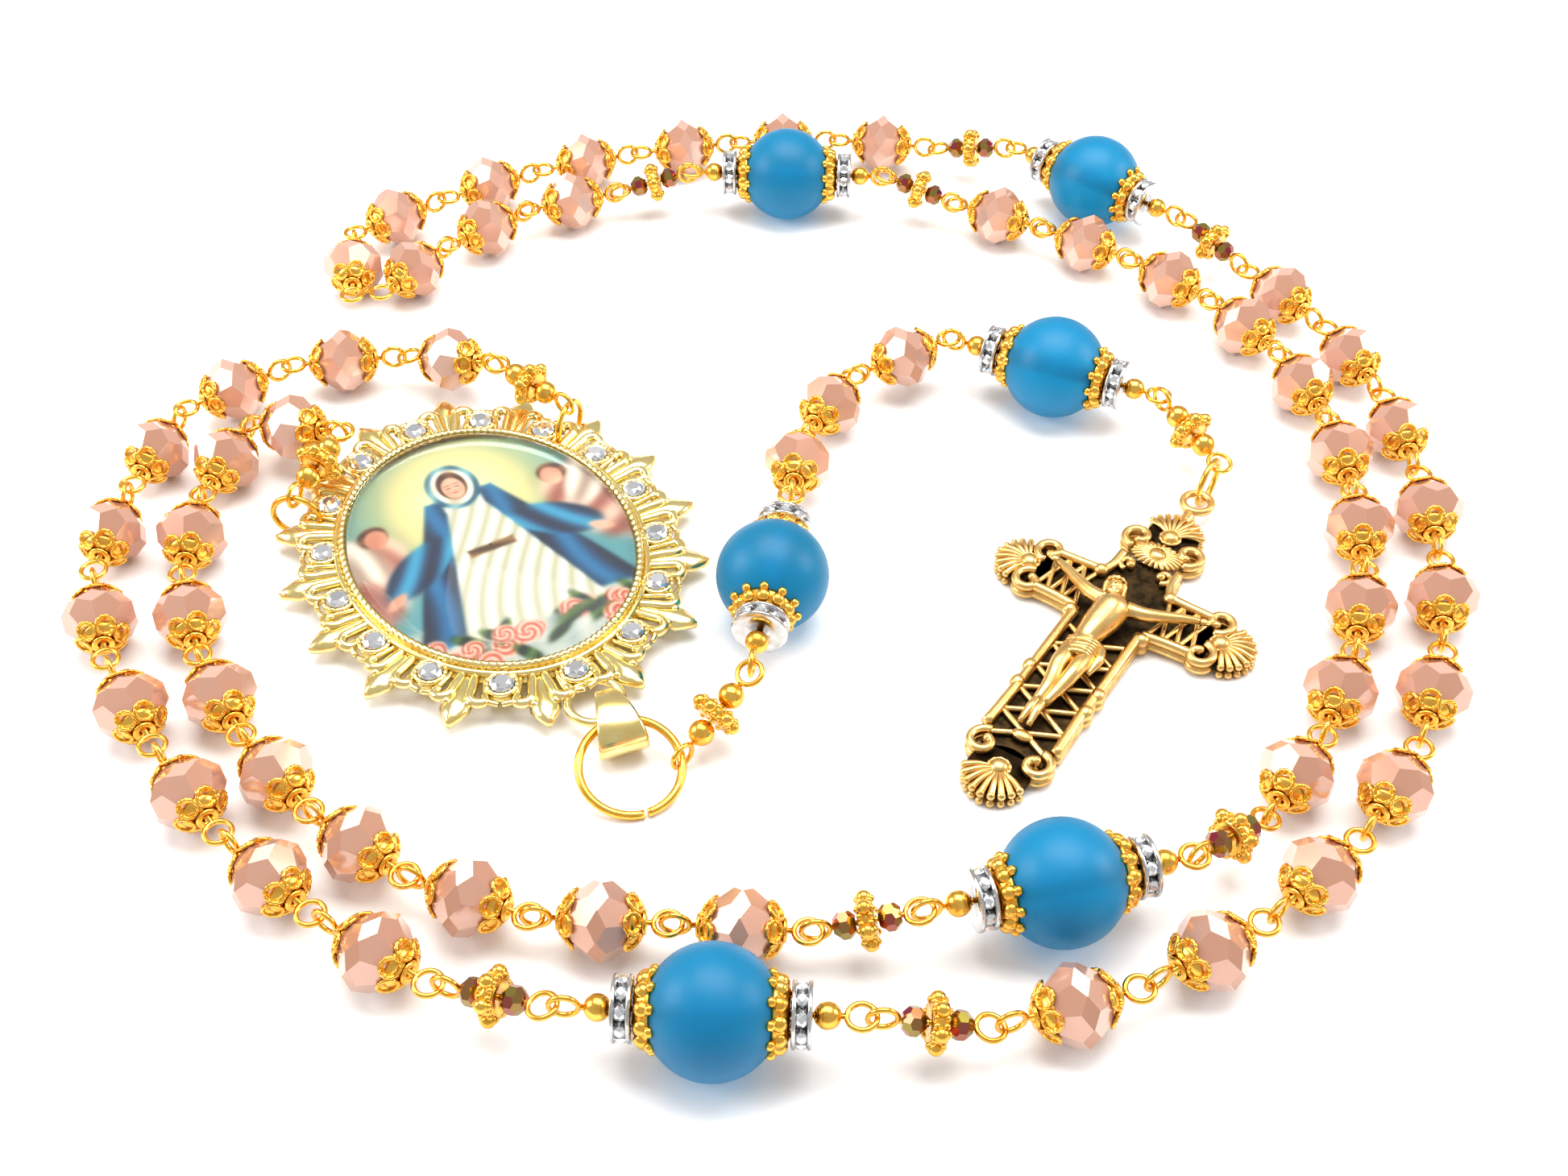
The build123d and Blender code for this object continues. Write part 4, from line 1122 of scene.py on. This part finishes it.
def corpus():
    """The figure: arms raised along the crossbar, head bowed to one side, loincloth, feet together."""
    shape = Shape()

    def part(points, radii, count=20, sides=16):
        path = smooth_path(points, count)
        size = np.interp(np.linspace(0, 1, len(path)), np.linspace(0, 1, len(radii)), radii)
        shape.add(*tube(path, size, sides))

    part([(0, -1.0, 3.2), (0.1, -3.0, 3.5), (-0.2, -5.6, 3.3), (-0.5, -8.4, 3.1), (-0.1, -10.6, 3.1)],
         (0.9, 2.0, 1.75, 1.2, 1.5))
    for side in (1, -1):
        shape.add(*ball((side * 0.85, -3.1, 4.1), (1.0, 0.8, 0.7), 18, 12))
        part([(side * 1.4, -1.9, 3.3), (side * 3.2, -1.5, 3.3), (side * 5.0, -0.5, 3.1),
              (side * 6.8, 0.6, 2.9), (side * 8.3, 1.4, 2.7)], (0.95, 0.78, 0.66, 0.55, 0.38))
        shape.add(*ball((side * 8.8, 1.55, 2.7), (0.62, 0.42, 0.34), 14, 10))
        for k in range(4):
            reach = 0.5 + 0.12 * k
            part([(side * 9.0, 1.3 + 0.17 * k, 2.7), (side * (9.2 + reach * 0.6), 1.35 + 0.24 * k, 2.85)],
                 (0.12, 0.08), 4, 8)
        part([(side * 0.75, -10.2, 3.2), (side * 0.95, -12.8, 3.8), (side * 0.6, -15.4, 3.3),
              (side * 0.4 - 0.3, -18.0, 2.9)], (1.15, 0.92, 0.8, 0.5))
        shape.add(*ball((side * 0.9, -13.0, 4.1), (0.6, 0.7, 0.45), 14, 10))
        part([(side * 0.35 - 0.4, -17.9, 2.9), (side * 0.35 - 0.4, -19.4, 3.0),
            (side * 0.5 - 0.4, -21.2, 2.6)],
             (0.48, 0.52, 0.3), 10)
    for k in range(6):
        lean = 0.3 * math.sin(k * 1.9)
        part([(-1.9, -8.4 - 0.45 * k, 3.0), (-0.6, -9.1 - 0.42 * k + lean, 4.35), (0.9, -8.9 - 0.4 * k, 4.35),
              (1.9, -8.2 - 0.5 * k, 3.1)], (0.28, 0.36, 0.36, 0.28), 18, 9)
    part([(1.8, -8.6, 3.3), (2.2, -10.2, 3.3), (2.0, -12.2, 3.0)], (0.5, 0.6, 0.3), 12, 10)
    shape.add(*ball((0, -22.2, 1.9), (1.2, 0.7, 0.5), 18, 10))
    turn = math.radians(14)
    up = np.array((-math.sin(turn), math.cos(turn), 0.0))
    side = np.array((math.cos(turn), math.sin(turn), 0.0))
    face = np.array((0, 0, 1.0))
    head = np.array((-1.0, 0.1, 3.5))
    axes = [side, up, face]
    part([(0, -1.6, 3.4), (-0.7, -0.9, 3.5)], (0.6, 0.55), 6)
    shape.add(*ball(head, (1.02, 1.3, 1.1), 26, 18, axes))
    shape.add(*ball(head - up * 0.62 + face * 0.3, (0.68, 0.72, 0.72), 18, 12, axes))
    shape.add(*tube([head + face * 1.0 + up * 0.18, head + face * 1.18 - up * 0.06,
                     head + face * 1.24 - up * 0.24], (0.09, 0.12, 0.15), 10))
    shape.add(*ball(head + face * 0.98 - up * 0.50, (0.22, 0.05, 0.07), 12, 8, axes))
    shape.add(*ball(head + face * 0.93 - up * 0.6, (0.18, 0.05, 0.07), 12, 8, axes))
    for swing in (1, -1):
        shape.add(*ball(head + side * swing * 0.36 + up * 0.12 + face * 0.93, (0.17, 0.07, 0.08), 12, 8,
            axes))
        shape.add(*tube([head + side * swing * 0.14 + up * 0.28 + face * 1.02,
                         head + side * swing * 0.36 + up * 0.33 + face * 0.98,
                         head + side * swing * 0.58 + up * 0.24 + face * 0.84], (0.06, 0.08, 0.05), 8))
        for k in range(5):
            start = head + side * swing * (0.55 + 0.1 * k) + up * (0.95 - 0.18 * k) + face * (0.5 - 0.16 * k)
            mid = head + side * swing * (1.05 + 0.02 * k) + up * (0.1 - 0.1 * k) + face * (0.35 - 0.17 * k)
            low = head + side * swing * (0.95 + 0.08 * k) - up * (1.35 + 0.08 * k) + face * (0.1 - 0.14 * k)
            part([start, mid, low], (0.2, 0.25, 0.14), 12, 8)
    for k in range(7):
        sway = (k - 3) * 0.16
        part([head + side * sway - up * 0.78 + face * 0.82, head + side * sway * 0.9 - up * 1.15 + face * 0.8,
              head + side * sway * 0.5 - up * 1.5 + face * 0.6], (0.13, 0.14, 0.07), 8, 8)
    crown = circle_path(head + up * 0.62 + face * 0.1, 1.02, side, face, 44)
    wave = 0.1 * np.sin(np.arange(44) * 1.7)[:, None] * up
    shape.add(*tube(crown + wave, 0.17, 8, closed=True, up=up))
    shape.add(*tube(crown - wave + up * 0.12, 0.15, 8, closed=True, up=up))
    return shape


put("crucifix_openwork", crucifix_frame().mesh("crucifix_openwork", [CROSS_GOLD]), CROSS,
    "crucifix", "antique_gold", "crucifix")
# The dark sheet is painted shade behind the openwork's holes.
put("crucifix_painted_shade", painted_shade_sheet().mesh("crucifix_painted_shade", [PAINTED_SHADE]), CROSS,
    "crucifix", "antique_gold", "crucifix")
put("corpus", corpus().mesh("corpus", [CROSS_GOLD]), CROSS, "crucifix", "antique_gold", "crucifix")


# ------------------------------------------------------------------ floor, light and camera
def stage_floor():
    FLOOR, floor_tree, floor_shader = principled("white_floor", Roughness=0.6)
    floor_noise = add_bump(floor_tree, floor_shader, 300.0, 0.02, 0.00002)
    add_ramp(floor_tree, floor_noise.outputs["Fac"], floor_shader.inputs["Base Color"],
             (0.93, 0.93, 0.93, 1), (0.96, 0.96, 0.96, 1))
    mesh = bpy.data.meshes.new("floor")
    mesh.from_pydata([(-1.5, -1.5, 0), (1.5, -1.5, 0), (1.5, 1.5, 0), (-1.5, 1.5, 0)], [], [(0, 1, 2, 3)])
    mesh.materials.append(FLOOR)
    floor = bpy.data.objects.new("floor", mesh)
    bpy.context.collection.objects.link(floor)


def area_light(name, place, aim, size, power, colour=(1, 1, 1)):
    light = bpy.data.lights.new(name, "AREA")
    light.shape = "RECTANGLE"
    light.size, light.size_y = size
    light.energy = power
    light.color = colour
    lamp = bpy.data.objects.new(name, light)
    lamp.location = place
    lamp.rotation_euler = (Vector(aim) - Vector(place)).to_track_quat("-Z", "Y").to_euler()
    bpy.context.collection.objects.link(lamp)


stage_floor()
area_light("overhead", (0.05, 0.10, 0.42), (0.03, 0.01, 0), (0.45, 0.30), 2.6)
area_light("left_panel", (-0.36, 0.02, 0.22), (0.03, 0.0, 0), (0.22, 0.22), 1.1)
area_light("right_panel", (0.44, 0.05, 0.20), (0.03, 0.0, 0), (0.16, 0.20), 0.8)
world = bpy.data.worlds.new("studio")
bpy.context.scene.world = world
world.use_nodes = True
world.node_tree.nodes["Background"].inputs["Color"].default_value = (1, 1, 1, 1)
world.node_tree.nodes["Background"].inputs["Strength"].default_value = 0.62

camera_data = bpy.data.cameras.new("camera")
camera_data.sensor_width = 36
camera_data.lens = 42.85
camera_data.clip_start = 0.005
camera = bpy.data.objects.new("camera", camera_data)
camera.location = (0.0322, -0.1487, 0.14366)
camera.rotation_euler = (math.radians(45.16), 0, 0)
bpy.context.collection.objects.link(camera)
bpy.context.scene.camera = camera


bpy.context.scene.view_settings.view_transform = "Standard"
